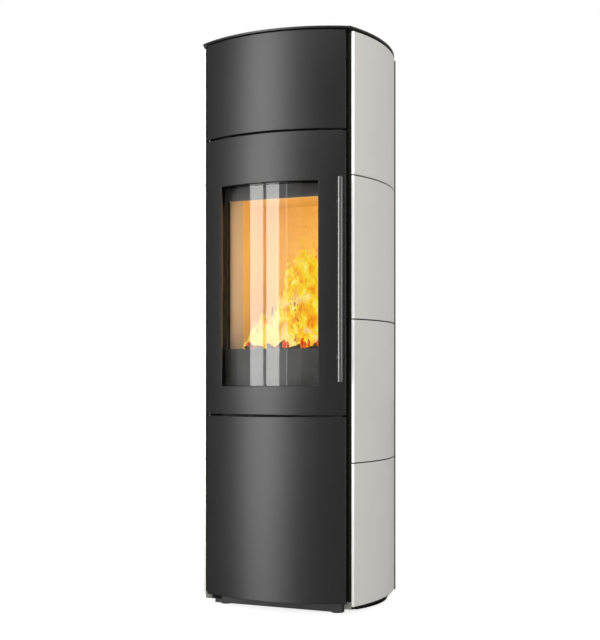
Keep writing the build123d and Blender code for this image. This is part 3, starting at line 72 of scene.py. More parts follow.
lens = bpy.data.cameras.new("view")
lens.sensor_width = SENSOR
lens.lens = SENSOR * FOCAL_PIXELS / PICTURE_HEIGHT
lens.shift_y = (HORIZON_ROW - PICTURE_HEIGHT / 2) / PICTURE_HEIGHT
camera = bpy.data.objects.new("camera", lens)
camera.location = CAMERA_PLACE
camera.rotation_euler = (pi / 2, 0, CAMERA_TURN)
bpy.context.scene.collection.objects.link(camera)
bpy.context.scene.camera = camera
print("lens:", round(lens.lens, 2), "mm")

# %% [markdown]
# ## Shader sums as Python
#
# A procedural finish is mostly small sums on textures. Wiring Math nodes by
# hand is slow to read, so one small class wraps a socket and turns Python's
# operators into nodes. A second class holds a material and makes any other
# node in one line.


# %% A socket that does sums
class Wire:
    """An output socket; operators on it add Math nodes to its tree."""

    def __init__(self, tree, socket):
        self.tree = tree
        self.socket = socket

    def math(self, operation, first, second=0.0):
        """One Math node on two values, each a wire or a number."""
        node = self.tree.nodes.new("ShaderNodeMath")
        node.operation = operation
        for socket, value in zip(node.inputs, (first, second)):
            plug(self.tree, socket, value)
        return Wire(self.tree, node.outputs[0])

    def __add__(self, other):
        return self.math("ADD", self, other)

    def __sub__(self, other):
        return self.math("SUBTRACT", self, other)

    def __rsub__(self, other):
        return self.math("SUBTRACT", other, self)

    def __mul__(self, other):
        return self.math("MULTIPLY", self, other)

    def __truediv__(self, other):
        return self.math("DIVIDE", self, other)

    def __rtruediv__(self, other):
        return self.math("DIVIDE", other, self)

    __radd__ = __add__
    __rmul__ = __mul__

    def unsigned(self):
        """The value without its sign."""
        return self.math("ABSOLUTE", self)

    def step(self, low, high):
        """A soft step, 0 at or under low and 1 at or over high."""
        node = self.tree.nodes.new("ShaderNodeMapRange")
        node.interpolation_type = "SMOOTHSTEP"
        for name, value in (("Value", self), ("From Min", low), ("From Max", high)):
            plug(self.tree, node.inputs[name], value)
        return Wire(self.tree, node.outputs[0])


def plug(tree, socket, value):
    """Links a wire to a socket, or sets a plain value on it."""
    if isinstance(value, Wire):
        tree.links.new(value.socket, socket)
    elif hasattr(value, "__len__") and socket.type == "RGBA" and len(value) == 3:
        socket.default_value = (*value, 1.0)
    else:
        socket.default_value = value


print("wires do + - * / and soft steps")


# %% A tree that makes any node
class Finish:
    """A material, or the world, as a tree of nodes."""

    def __init__(self, owner):
        owner.use_nodes = True
        self.owner = owner
        self.tree = owner.node_tree
        self.tree.nodes.clear()

    def node(self, kind, settings=None, inputs=None, out=0):
        """One node: its settings first, then its sockets."""
        node = self.tree.nodes.new("ShaderNode" + kind)
        for name, value in (settings or {}).items():
            if name == "stops":
                self.set_stops(node.color_ramp, value)
            else:
                setattr(node, name, value)
        for name, value in (inputs or {}).items():
            plug(self.tree, node.inputs[name], value)
        return Wire(self.tree, node.outputs[out])

    def set_stops(self, ramp, stops):
        """Sets a colour ramp's stops, each a place from 0 to 1 and a colour."""
        while len(ramp.elements) < len(stops):
            ramp.elements.new(1.0)
        for element, (place, colour) in zip(ramp.elements, stops):
            element.position = place
            element.color = (*colour, 1.0)

    def place(self, scale=(1, 1, 1), turn=(0, 0, 0), point=None):
        """The point on the object, in metres, scaled and turned."""
        point = point or self.node("TexCoord", out="Object")
        return self.node("Mapping", {}, {"Vector": point, "Scale": scale, "Rotation": turn})

    def parts(self, vector):
        """The three numbers of a vector, each on its own wire."""
        split = self.node("SeparateXYZ", {}, {0: vector})
        return [Wire(self.tree, socket) for socket in split.socket.node.outputs]

    def axes(self):
        """The three coordinates of the point on the object."""
        return self.parts(self.node("TexCoord", out="Object"))

    def ray(self, kind):
        """One for rays of a kind: Camera, Glossy or Transmission."""
        return self.node("LightPath", out="Is " + kind + " Ray")

    def noise(self, scale, detail, roughness=0.55, where=None):
        """Cloudy noise from 0 to 1, so many waves to the metre."""
        sockets = {"Scale": scale, "Detail": detail, "Roughness": roughness}
        sockets["Vector"] = where or self.place()
        return self.node("TexNoise", {}, sockets)

    def cells(self, scale, feature="F1", out=0, where=None):
        """Voronoi cells: the distance to a middle or a border, or a Color."""
        sockets = {"Scale": scale, "Vector": where or self.place()}
        return self.node("TexVoronoi", {"feature": feature}, sockets, out)

    def ramp(self, amount, stops):
        """Colours along a ramp, picked by an amount from 0 to 1."""
        return self.node("ValToRGB", {"stops": stops}, {"Fac": amount})

    def blend(self, amount, first, second):
        """A colour between two colours."""
        sockets = {0: amount, 6: first, 7: second}
        return self.node("Mix", {"data_type": "RGBA"}, sockets, out=2)

    def bump(self, height, distance, strength):
        """A normal that leans as if the skin rose by a distance in metres."""
        sockets = {"Height": height, "Distance": distance, "Strength": strength}
        return self.node("Bump", {}, sockets)

    def cover(self, **sockets):
        """The Principled surface; an underscore stands for a space."""
        named = {name.replace("_", " "): value for name, value in sockets.items()}
        return self.node("BsdfPrincipled", {}, named)

    def show(self, shader, kind="Material"):
        """Puts the shader on the owner and hands the owner back."""
        out = self.tree.nodes.new("ShaderNodeOutput" + kind)
        self.tree.links.new(shader.socket, out.inputs["Surface"])
        print(self.owner.name + ":", len(self.tree.nodes), "nodes")
        return self.owner


def new_finish(name):
    """An empty material with a name, ready for nodes."""
    return Finish(bpy.data.materials.new(name))


print("a finish makes any node by its type")

# %% [markdown]
# ## Black stove enamel
#
# The front, the top and the inner frames are steel with a heat-proof paint,
# baked on. It is almost black and satin: lamps spread into soft bands. A very
# fine grain in the film breaks the gloss, and wide clouds of a slightly
# different sheen keep a large panel from looking like plastic. The kick plate
# near the floor has the same paint, scuffed dull.


# %% Black enamel
def black_enamel(name, roughness, specular):
    """Baked satin paint; a lower specular level makes it dull."""
    paint = new_finish(name)
    clouds = paint.noise(7.0, 2.0)
    grain = paint.noise(1900.0, 2.0)
    colour = paint.blend(clouds, (0.0060, 0.0060, 0.0058), (0.0085, 0.0085, 0.0082))
    shader = paint.cover(
        Base_Color=colour,
        Roughness=roughness + clouds * 0.04 + grain * 0.03,
        Specular_IOR_Level=specular,
        Normal=paint.bump(grain, 0.00002, 0.35),
    )
    return paint.show(shader)


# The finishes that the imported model's slots ask for, by the slot's name.
FINISHES = {"black_steel": black_enamel("black enamel", 0.405, 0.9)}
KICK_PAINT = black_enamel("kick plate paint", 0.50, 0.72)

# %% [markdown]
# The frame that stands back behind the panels and under the tiles has only a
# primer: a dull, open, carbon black that gives no highlight, so the joints
# beside the panels read as shadow. It goes on by the name of the part,
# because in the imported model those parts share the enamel's slot.


# %% Primer
def dull_primer():
    primer = new_finish("dull primer")
    dust = primer.noise(160.0, 4.0)
    shader = primer.cover(
        Base_Color=primer.blend(dust, (0.0035, 0.0034, 0.0033), (0.0090, 0.0088, 0.0085)),
        Roughness=0.72 + dust * 0.1,
        Specular_IOR_Level=0.25,
        Normal=primer.bump(dust, 0.00005, 0.4),
    )
    return primer.show(shader)


PRIMER = dull_primer()
PRIMED_NODES = (
    "base_plate",
    "levelling_feet",
    "corner_post_right",
    "corner_post_left",
    "hinge_brackets",
)

# %% [markdown]
# ## Bare and galvanised steel
#
# Hooks, brackets and screws are plain steel with the faint long scratches of
# rolling. Sheets that stay out of sight are zinc coated, a flatter grey with
# a flaky bloom. One function makes both, because only their numbers differ.
# The plate round the fire opening is grey in front, and painted near black on
# the edges that are folded back towards the fire: painted shade for the jambs
# of the opening, which stand in shadow.

# %% Plain steels
SHADE_RAMP_DEPTH = 0.001  # from bare to fully black
PAINTED_SHADE_BLACK = (0.002, 0.002, 0.002)


def rolled_steel(name, dark, pale, roughness, metal, painted_black_behind=None):
    """Sheet steel; behind an optional place along y it is painted near black, as painted shade."""
    steel = new_finish(name)
    scratches = steel.noise(1.0, 3.0, where=steel.place((40, 40, 1400)))
    bloom = steel.noise(60.0, 4.0)
    colour = steel.blend(bloom * 0.6 + scratches * 0.4, dark, pale)
    roughness = roughness + scratches * 0.18
    if painted_black_behind is not None:
        # Painted shade: near black, matt and not metallic behind the plate's front sheet.
        painted_shade = steel.axes()[1].step(painted_black_behind, painted_black_behind + SHADE_RAMP_DEPTH)
        colour = steel.blend(painted_shade, colour, PAINTED_SHADE_BLACK)
        metal = (1 - painted_shade) * metal
        roughness = roughness + painted_shade * 0.4
    shader = steel.cover(
        Base_Color=colour,
        Metallic=metal,
        Roughness=roughness,
        Normal=steel.bump(scratches, 0.00003, 0.4),
    )
    return steel.show(shader)


# Dark and pale colour, roughness, how metallic.
GREY = ((0.090, 0.090, 0.091), (0.125, 0.125, 0.126), 0.50, 0.3)
BARE = ((0.28, 0.27, 0.26), (0.46, 0.45, 0.44), 0.28, 1.0)
PLATE_SHEET = 0.002
PLATE_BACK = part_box("face_plate")[0].y + PLATE_SHEET
FINISHES["grey_steel"] = rolled_steel("grey steel", *GREY)
FINISHES["raw_steel"] = rolled_steel("raw steel", *BARE)
SHADED_PLATE_STEEL = rolled_steel("plate steel, painted shade", *GREY, painted_black_behind=PLATE_BACK)

# %% [markdown]
# The folded feet of the corner posts are zinc coated as well. Only their outer
# ends are pale zinc; nearer the middle they are near black. The border is a soft
# step on x without its sign, which serves the left and the right foot at once.

# %% Folded feet
TAB_PALE_FROM = 0.2110  # from the middle of the stove
TAB_BORDER = 0.0008


def zinc_tabs():
    zinc = new_finish("zinc tabs")
    bloom = zinc.noise(150.0, 4.0)
    # Near black nearer the middle than the border, pale zinc at the outer ends.
    pale_outer = zinc.axes()[0].unsigned().step(TAB_PALE_FROM, TAB_PALE_FROM + TAB_BORDER)
    pale = zinc.blend(bloom, (0.12, 0.12, 0.11), (0.22, 0.22, 0.20))
    shader = zinc.cover(
        Base_Color=zinc.blend(pale_outer, (0.004, 0.004, 0.004), pale),
        Roughness=0.6 + bloom * 0.2,
        Normal=zinc.bump(bloom, 0.00005, 0.3),
    )
    return zinc.show(shader)


ZINC_TABS = zinc_tabs()

# %% [markdown]
# ## Brushed stainless handle
#
# The handle is a polished bar finished with a belt along its length. The
# scratches run up the bar, so the noise is stretched along z: that gives
# long thin lines, and the highlight stays a clean upright band.


# %% Stainless
def brushed_stainless():
    bar = new_finish("brushed stainless")
    lines = bar.noise(1.0, 4.0, where=bar.place((2600, 2600, 14)))
    shader = bar.cover(
        Base_Color=bar.blend(lines, (0.21, 0.21, 0.208), (0.29, 0.29, 0.287)),
        Metallic=1.0,
        Roughness=0.24 + lines * 0.12,
        Normal=bar.bump(lines, 0.00001, 0.3),
    )
    return bar.show(shader)


FINISHES["stainless"] = brushed_stainless()

# %% [markdown]
# ## Cast iron
#
# The grate and the door frame are castings. The skin of a casting is a fine
# sand texture with a few larger dimples, painted or rubbed with black lead.


# %% Cast iron
def cast_iron():
    iron = new_finish("cast iron")
    sand = iron.noise(900.0, 4.0, 0.7)
    dimples = iron.noise(140.0, 2.0)
    shader = iron.cover(
        Base_Color=iron.blend(sand, (0.010, 0.010, 0.010), (0.030, 0.029, 0.028)),
        Metallic=0.35,
        Roughness=0.52 + sand * 0.2,
        Normal=iron.bump(sand + dimples * 0.6, 0.00012, 0.7),
    )
    return iron.show(shader)


FINISHES["cast_iron"] = cast_iron()

# %% [markdown]
# ## The glaze of the side tiles
#
# The tiles are large fired slabs under a quiet off-white glaze. Close up, a
# glaze is never one colour: it pools a little, and it carries pin-head specks
# of the clay under it. Along the front edges a thin band is painted near white,
# a painted highlight for the lamp light on those edges, whitest high up and
# greyer towards the floor as painted shade. The surface is flat to the eye,
# with a slow wave of a fraction of a millimetre.

# %% Glaze
EDGE_HIGHLIGHT_FROM, EDGE_HIGHLIGHT_TO = 0.0010, 0.0026  # the painted edge highlight ends between these
EDGE_HIGHLIGHT_FULL_AT = 0.7  # height over the floor where the painted edge highlight is whitest


def tile_glaze():
    glaze = new_finish("tile glaze")
    pools = glaze.noise(9.0, 3.0)
    fine = glaze.noise(420.0, 3.0)
    body = glaze.blend(pools, (0.660, 0.643, 0.596), (0.710, 0.693, 0.648))
    specks = 1 - glaze.cells(230.0).step(0.06, 0.16)
    rare = glaze.noise(70.0, 1.0).step(0.56, 0.66)
    colour = glaze.blend(specks * rare * 0.34, body, (0.42, 0.38, 0.33))
    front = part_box("tile_right_1")[0].y
    _, y, z = glaze.axes()
    # Painted highlight: a thin band along the front edges is made near white, whitest high up and
    # greyer lower down, in place of lamp light on those edges.
    edge = 1 - y.step(front + EDGE_HIGHLIGHT_FROM, front + EDGE_HIGHLIGHT_TO)
    white = glaze.blend(z.step(0.0, EDGE_HIGHLIGHT_FULL_AT), (0.66, 0.65, 0.62), (0.93, 0.92, 0.89))
    colour = glaze.blend(edge, colour, white)
    wave = glaze.noise(26.0, 2.0)
    shader = glaze.cover(
        Base_Color=colour,
        Roughness=0.24 + fine * 0.10,
        Coat_Weight=0.8,
        Coat_Roughness=0.12,
        Normal=glaze.bump(wave + fine * 0.05, 0.0004, 0.25),
    )
    return glaze.show(shader)


FINISHES["glaze"] = tile_glaze()

# %% [markdown]
# ## Fibre, rope and board
#
# Three heat-proof materials that are not metal. Fibre strip is a felt, all but
# black, so the joints between the tiles read as dark lines. Door rope is
# knitted glass yarn, so its surface is a slanting rib. The boards round the
# fire are pressed vermiculite: buff, flecked with bright mica, and pitted
# where flakes have dropped out. Near the door they are painted pale and cool,
# a painted reflection of pale light over them.


# %% Fibre strip and door rope
def fibre_strip():
    felt = new_finish("fibre strip")
    hair = felt.noise(1.0, 4.0, 0.7, felt.place((500, 500, 1600)))
    shader = felt.cover(
        Base_Color=felt.blend(hair, (0.004, 0.004, 0.004), (0.014, 0.013, 0.012)),
        Roughness=0.95,
        Normal=felt.bump(hair, 0.0004, 0.8),
    )
    return felt.show(shader)


def door_rope():
    rope = new_finish("door rope")
    where = rope.place((1, 1, 1), (radians(35), radians(35), 0))
    ribs = rope.node(
        "TexWave",
        {"bands_direction": "DIAGONAL"},
        {"Vector": where, "Scale": 95.0, "Distortion": 1.4},
    )
    fluff = rope.noise(1200.0, 3.0)
    shader = rope.cover(
        Base_Color=rope.blend(ribs * 0.7 + fluff * 0.3, (0.045, 0.044, 0.042), (0.17, 0.165, 0.155)),
        Roughness=0.9,
        Normal=rope.bump(ribs + fluff * 0.3, 0.0006, 0.8),
    )
    return rope.show(shader)


FINISHES["fibre"] = fibre_strip()
FINISHES["rope"] = door_rope()


# %% Fire board
PAINTED_REFLECTION_END = -0.062  # y where the painted reflection on the boards ends
PAINTED_REFLECTION_SOFT = 0.004


def fire_board():
    board = new_finish("fire board")
    flake = board.node("SeparateColor", {}, {0: board.cells(260.0, out="Color")})
    crumbs = board.noise(520.0, 4.0, 0.65)
    clouds = board.noise(11.0, 3.0)
    buff = board.blend(clouds, (0.80, 0.62, 0.25), (0.86, 0.68, 0.29))
    colour = board.blend(flake.step(0.78, 0.95) * 0.25, buff, (0.90, 0.78, 0.56))
    colour = board.blend((1 - flake.step(0.02, 0.07)) * 0.2, colour, (0.42, 0.30, 0.17))
    # Painted reflection: near the door the boards are made pale and cool, in place of a pale
    # reflection over them.
    painted_reflection = 1 - board.axes()[1].step(PAINTED_REFLECTION_END - PAINTED_REFLECTION_SOFT, PAINTED_REFLECTION_END + PAINTED_REFLECTION_SOFT)
    colour = board.blend(painted_reflection * 0.85, colour, (0.51, 0.56, 0.80))
    shader = board.cover(
        Base_Color=colour,
        Roughness=0.88,
        Normal=board.bump(crumbs + flake * 0.5, 0.0005, 0.5),
    )
    return board.show(shader)


FINISHES["fire_board"] = fire_board()

# %% [markdown]
# The blocks over the fire store its heat. They are cast from a dense grey
# refractory, with dark and pale grains and slow veins where the mix settled.


# %% Store stone
def store_stone():
    stone = new_finish("store stone")
    grain = stone.noise(240.0, 5.0, 0.7)
    veins = stone.noise(16.0, 6.0, 0.6)
    shader = stone.cover(
        Base_Color=stone.blend(grain * 0.5 + veins * 0.5, (0.10, 0.105, 0.10), (0.27, 0.27, 0.26)),
        Roughness=0.7,
        Normal=stone.bump(grain, 0.0003, 0.6),
    )
    return stone.show(shader)


FINISHES["store_stone"] = store_stone()

# %% [markdown]
# ## Ceramic glass
#
# The pane is clear glass-ceramic, 4 mm thick, bent to the curve of the door.
# It is a real solid, so a plain refracting shader shows what is behind it and
# reflects the lamps from both faces. A near black band is coloured on it
# along the upper and lower edges of the window.


# %% Glass
GLASS_LAP = 0.014  # pane behind the window's edge
DARK_BAND_BELOW_TOP = 0.0062  # how far the dark band shows in the window
DARK_BAND_OVER_BOTTOM = 0.0016
DARK_BAND_EDGE = 0.0005  # its soft border


def door_pane():
    pane = new_finish("ceramic glass")
    smears = pane.noise(14.0, 4.0)
    low, high = (corner.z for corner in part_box("door_glass"))
    upper = high - GLASS_LAP - DARK_BAND_BELOW_TOP
    lower = low + GLASS_LAP + DARK_BAND_OVER_BOTTOM
    z = pane.axes()[2]
    # A near black band along the top and bottom edges of the window.
    dark_band = z.step(upper, upper + DARK_BAND_EDGE) + (1 - z.step(lower - DARK_BAND_EDGE, lower))
    clear = pane.blend(smears, (0.93, 0.93, 0.92), (0.97, 0.97, 0.965))
    shader = pane.cover(
        Base_Color=pane.blend(dark_band, clear, (0.004, 0.004, 0.004)),
        Roughness=0.0,
        IOR=1.52,
        Transmission_Weight=1.0,
    )
    return pane.show(shader)


FINISHES["glass"] = door_pane()

# %% [markdown]
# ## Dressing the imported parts
#
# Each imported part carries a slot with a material's name, and the finish of
# that name goes into it. A few parts differ from their slot, and are looked
# up by their own name first.

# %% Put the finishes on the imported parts
SPECIAL = {node_name: PRIMER for node_name in PRIMED_NODES}
SPECIAL.update({"face_plate": SHADED_PLATE_STEEL, "plinth": KICK_PAINT, "corner_tabs": ZINC_TABS})
for node_name, part in nodes.items():
    for place in part.material_slots:
        slot_name = place.material.name.split(".")[0]
        place.material = SPECIAL.get(node_name, FINISHES[slot_name])
print("finishes:", len(FINISHES), "and", len(SPECIAL), "parts with their own")

# %% [markdown]
# ## Rolled sheet metal
#
# The front is three bowed panels. On the real stove each is one sheet, rolled
# to the curve and folded back all round, so its edges are small bends and not
# knife edges, and the light runs round them. An upright edge is spun about
# the curve's centre to make the skin; the window is cut by slicing planes; the
# edges are pushed back to make the folds; then the bends are rounded, and a
# Solidify modifier gives the sheet its thickness towards the inside.

# %% Sizes of the front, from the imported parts
skin_low, skin_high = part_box("door_skin")
glass_low, glass_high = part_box("door_glass")
FRONT_RADIUS = 0.466  # of the bow, in plan
SHEET = 0.0025
FOLD_RADIUS = 0.0016
END_FOLD = 0.006  # folded back beside the posts
LONG_FOLD = 0.011  # folded back along top and bottom
WINDOW_FOLD = SHEET + FOLD_RADIUS * 4  # folded back round the window
FRONT_STEPS = 72
HALF_WIDTH = skin_high.x
CURVE_CENTRE = Vector((0, skin_low.y + FRONT_RADIUS, 0))
CHORD = CURVE_CENTRE.y - sqrt(FRONT_RADIUS**2 - HALF_WIDTH**2)
WINDOW_LOW = Vector((glass_low.x + GLASS_LAP, 0, glass_low.z + GLASS_LAP))
WINDOW_HIGH = Vector((glass_high.x - GLASS_LAP, 0, glass_high.z - GLASS_LAP))
window_size = WINDOW_HIGH - WINDOW_LOW
print("window:", round(window_size.x, 4), "x", round(window_size.z, 4), "chord:", round(CHORD, 4))

# %% [markdown]
# A new piece ends the same way each time. Its mesh becomes an object, with
# soft shading up to an angle and hard edges past it. The imported parts that
# it stands for are hidden, and it is hung on the body it rides on when a door
# opens.


# %% A piece takes its place
def make_object(name, bm, finish):
    """Turns a bmesh into an object in the scene, with one finish."""
    mesh = bpy.data.meshes.new(name)
    bm.to_mesh(mesh)
    bm.free()
    mesh.materials.append(finish)
    made = bpy.data.objects.new(name, mesh)
    bpy.context.scene.collection.objects.link(made)
    return made


def finish_piece(name, bm, finish, body, slot, *replaced, smooth=35):
    """Makes a piece and seats it; edges past smooth degrees look hard."""
    piece = make_object(name, bm, finish)
    piece.data.shade_smooth()
    piece.data.set_sharp_from_angle(angle=radians(smooth))
    if replaced:
        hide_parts(*replaced)
    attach(piece, body)
    print(name, "faces:", len(piece.data.polygons))
    return piece


# %% Small tools on a mesh
def only(kind, items):
    """The items of one kind: BMVert, BMEdge or BMFace."""
    return [item for item in items if isinstance(item, kind)]


def climb(edge):
    """How far an edge runs along z."""
    return abs(edge.verts[0].co.z - edge.verts[1].co.z)


def sharp_edges(bm):
    """The edges where the surface turns by more than a radian."""
    return [edge for edge in bm.edges if edge.calc_face_angle(0) > 1.0]


def round_edges(bm, edges, radius, clamp=False):
    """Rounds edges with four narrow faces each."""
    bmesh.ops.bevel(
        bm,
        geom=edges,
        offset=radius,
        segments=4,
        profile=0.5,
        affect="EDGES",
        material=-1,
        clamp_overlap=clamp,
    )


def slice_at(bm, place, direction):
    """Cuts every face along a plane, and keeps both sides."""
    everything = bm.verts[:] + bm.edges[:] + bm.faces[:]
    bmesh.ops.bisect_plane(bm, geom=everything, plane_co=place, plane_no=direction, dist=1e-7)


def spin_upright(bm, geom, centre, angle, steps, merge=False):
    """Spins points or edges about an upright axis."""
    bmesh.ops.spin(
        bm,
        geom=geom,
        cent=centre,
        axis=(0, 0, 1),
        angle=angle,
        steps=steps,
        use_merge=merge,
    )


print("mesh tools: only, climb, sharp_edges, round_edges, slice_at, spin_upright")


# %% A bowed skin, its window and its rim
NEAR = 1e-5  # closer than this is the same place


def bowed_skin(low, high):
    """The outer face of a bowed panel, as a strip of narrow faces."""
    bm = bmesh.new()
    reach = asin(HALF_WIDTH / FRONT_RADIUS)
    corner = Vector((-HALF_WIDTH, CHORD, low))
    ends = [bm.verts.new(corner), bm.verts.new(corner + Vector((0, 0, high - low)))]
    upright = bm.edges.new(ends)
    spin_upright(bm, ends + [upright], CURVE_CENTRE, 2 * reach, FRONT_STEPS)
    return bm


def cut_window(bm):
    """Slices the skin along the window's four sides, and opens it between them."""
    for corner in (WINDOW_LOW, WINDOW_HIGH):
        slice_at(bm, corner, (1, 0, 0))
        slice_at(bm, corner, (0, 0, 1))
    inside = [
        face
        for face in bm.faces
        if WINDOW_LOW.x < face.calc_center_median().x < WINDOW_HIGH.x
        and WINDOW_LOW.z < face.calc_center_median().z < WINDOW_HIGH.z
    ]
    bmesh.ops.delete(bm, geom=inside, context="FACES")


def rim_edges(bm, low, high):
    """Open edges, sorted into ends, long edges and the window's edge."""
    rim = {"ends": [], "long": [], "window": []}
    for edge in bm.edges:
        if not edge.is_boundary:
            continue
        middle = (edge.verts[0].co + edge.verts[1].co) / 2
        if abs(abs(middle.x) - HALF_WIDTH) < NEAR:
            rim["ends"].append(edge)
        elif min(abs(middle.z - low), abs(middle.z - high)) < NEAR:
            rim["long"].append(edge)
        else:
            rim["window"].append(edge)
    return rim


print("spun in", FRONT_STEPS, "steps about", [round(v, 3) for v in CURVE_CENTRE])


# %% Folds
def fold(bm, edges, depth, inwards=False):
    """Pushes open edges back, or in towards the curve's centre.

    The edges themselves turn into the bends, and are returned.
    """
    made = bmesh.ops.extrude_edge_only(bm, edges=edges)["geom"]
    tips = only(bmesh.types.BMVert, made)
    if inwards:
        shrink = 1 - depth / FRONT_RADIUS
        from_centre = Matrix.Translation(-CURVE_CENTRE)
        bmesh.ops.scale(bm, vec=(shrink, shrink, 1), space=from_centre, verts=tips)
    else:
        bmesh.ops.translate(bm, vec=(0, depth, 0), verts=tips)
    return edges


def bowed_panel(name, body, window=False):
    """One folded panel of the front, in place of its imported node."""
    low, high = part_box(name)
    bm = bowed_skin(low.z, high.z)
    if window:
        cut_window(bm)
    rim = rim_edges(bm, low.z, high.z)
    bends = fold(bm, rim["ends"], END_FOLD)
    bends += fold(bm, rim["long"], LONG_FOLD, inwards=True)
    if rim["window"]:
        bends += fold(bm, rim["window"], WINDOW_FOLD)
    round_edges(bm, bends, FOLD_RADIUS, clamp=True)
    bmesh.ops.recalc_face_normals(bm, faces=bm.faces[:])
    enamel = FINISHES["black_steel"]
    piece = finish_piece(name + "_sheet", bm, enamel, body, "black_steel", name, smooth=50)
    wall = piece.modifiers.new("sheet thickness", "SOLIDIFY")
    wall.thickness = SHEET
    wall.offset = -1
    wall.use_even_offset = True


print("folds:", END_FOLD, LONG_FOLD, round(WINDOW_FOLD, 4), "of sheet", SHEET)

# %% The three panels
bowed_panel("upper_front_panel", "stove_body")
bowed_panel("door_skin", "fire_door", window=True)
bowed_panel("lower_door_skin", "lower_door")

# %% [markdown]
# ## The top plate
#
# A 6 mm plate, cut to the plan of the stove, with the sharpness just taken
# off its edge. Three arcs and one straight line make its outline. Each arc is
# a single point spun about that arc's centre, which leaves a chain of edges.
# The front corner lies where the front arc meets the side arc. It is found by
# going from one arc to the other in turn, which closes in on the crossing.

# %% Sizes of the top plate
TOP_OVERHANG = 0.004  # past the front panels
SIDE_RADIUS = 0.520  # of the tiles' bow, in plan
SIDE_WIDEST = 0.1938  # behind the ends of the front panels
SIDE_INSET = 0.0002  # in from the tiles
TOP_EASE = 0.0011  # round on its edge
ARC_STEPS = 48
CORNER_ROUNDS = 20
tile_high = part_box("tile_right_1")[1]
SIDE_CENTRE = Vector((tile_high.x - SIDE_RADIUS, CHORD + SIDE_WIDEST, 0))
print("side arc:", SIDE_RADIUS, "about", [round(v, 3) for v in SIDE_CENTRE])


# %% Top plate
def spun_point(bm, start, centre, end):
    """An arc from start to end, as a chain of edges."""
    point = bm.verts.new(start)
    level = Vector((centre.x, centre.y, start.z))
    turn = (start - level).xy.angle_signed((end - level).xy)
    spin_upright(bm, [point], level, -turn, ARC_STEPS)


def side_x(y):
    """Where the plate's right side lies, at a depth."""
    radius = SIDE_RADIUS - SIDE_INSET
    return SIDE_CENTRE.x + sqrt(radius**2 - (y - SIDE_CENTRE.y) ** 2)


def make_top_plate():
    low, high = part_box("top_plate")
    arc = FRONT_RADIUS + TOP_OVERHANG
    front_x = HALF_WIDTH
    for _ in range(CORNER_ROUNDS):
        front_y = CURVE_CENTRE.y - sqrt(arc**2 - front_x**2)
        front_x = side_x(front_y)
    front_right = Vector((front_x, front_y, low.z))
    rear_right = Vector((side_x(high.y), high.y, low.z))
    mirror = Matrix.Scale(-1, 3, (1, 0, 0))
    bm = bmesh.new()
    spun_point(bm, mirror @ front_right, CURVE_CENTRE, front_right)
    spun_point(bm, front_right, SIDE_CENTRE, rear_right)
    spun_point(bm, mirror @ rear_right, mirror @ SIDE_CENTRE, mirror @ front_right)
    bmesh.ops.remove_doubles(bm, verts=bm.verts[:], dist=NEAR)
    loose_ends = [vert for vert in bm.verts if len(vert.link_edges) == 1]
    bm.edges.new(loose_ends)
    plate = bmesh.ops.contextual_create(bm, geom=bm.edges[:])["faces"]
    raised = bmesh.ops.extrude_face_region(bm, geom=plate)["geom"]
    top = only(bmesh.types.BMVert, raised)
    bmesh.ops.translate(bm, vec=(0, 0, high.z - low.z), verts=top)
    bmesh.ops.recalc_face_normals(bm, faces=bm.faces[:])
    rims = [edge for edge in sharp_edges(bm) if climb(edge) < 1e-6]
    round_edges(bm, rims, TOP_EASE)
    enamel = FINISHES["black_steel"]
    finish_piece("top_plate_sheet", bm, enamel, "stove_body", "black_steel", "top_plate")


make_top_plate()

# %% [markdown]
# ## The handle
#
# A solid bar on two arms. A bar's outline, from its middle line out to its
# skin at both ends, is spun a full turn about the upright axis. The two sharp
# circles that this leaves are then softened.

# %% Handle bar
bar_low, bar_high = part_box("handle_bar")
BAR_RADIUS = (bar_high.x - bar_low.x) / 2
BAR_EASE = 0.0012  # round at its ends
BAR_STEPS = 64


def make_handle():
    axis = (bar_low + bar_high) / 2
    bm = bmesh.new()
    outline = [(0, bar_low.z), (BAR_RADIUS, bar_low.z), (BAR_RADIUS, bar_high.z), (0, bar_high.z)]
    corners = [bm.verts.new((axis.x + out, axis.y, z)) for out, z in outline]
    runs = [bm.edges.new(pair) for pair in zip(corners, corners[1:])]
    spin_upright(bm, corners + runs, (axis.x, axis.y, 0), 2 * pi, BAR_STEPS, merge=True)
    bmesh.ops.remove_doubles(bm, verts=bm.verts[:], dist=1e-6)
    bmesh.ops.recalc_face_normals(bm, faces=bm.faces[:])
    round_edges(bm, sharp_edges(bm), BAR_EASE)
    steel = FINISHES["stainless"]
    finish_piece("handle_bar_brushed", bm, steel, "fire_door", "stainless", "handle_bar")


make_handle()

# %% [markdown]
# ## Room for the fire
#
# What burns lies on the hearth slab, between the side boards and in front of
# the rear one, a few millimetres off each of them. These limits are read from
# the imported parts, so the fire would follow a larger or smaller firebox.

# %% Firebox sizes
SIDE_BOARD = 0.019  # thickness of the boards at the sides
OFF_SIDES, OFF_REAR, OFF_FRONT = 0.003, 0.004, 0.002  # clear of the boards
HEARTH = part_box("hearth_slab")[1].z
rear_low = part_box("lining_rear")[0]
sides_low, sides_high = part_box("lining_sides")
FIRE_LEFT = sides_low.x + SIDE_BOARD + OFF_SIDES
FIRE_RIGHT = sides_high.x - SIDE_BOARD - OFF_SIDES
FIRE_REAR = rear_low.y - OFF_REAR
FIRE_FRONT = sides_low.y + OFF_FRONT
print("fire across:", round(FIRE_LEFT, 3), "to", round(FIRE_RIGHT, 3))
print("fire in depth:", round(FIRE_FRONT, 3), "to", round(FIRE_REAR, 3), "over", round(HEARTH, 3))

# %% [markdown]
# ## Ash and embers
#
# A fire lives on its own ash. The bed is a heap of cinders: small many-sided
# lumps, each one scaled and turned by a seeded number, heaped on the hearth
# and the grate. Their shader is charcoal with a net of glowing cracks, made
# from the borders between Voronoi cells.


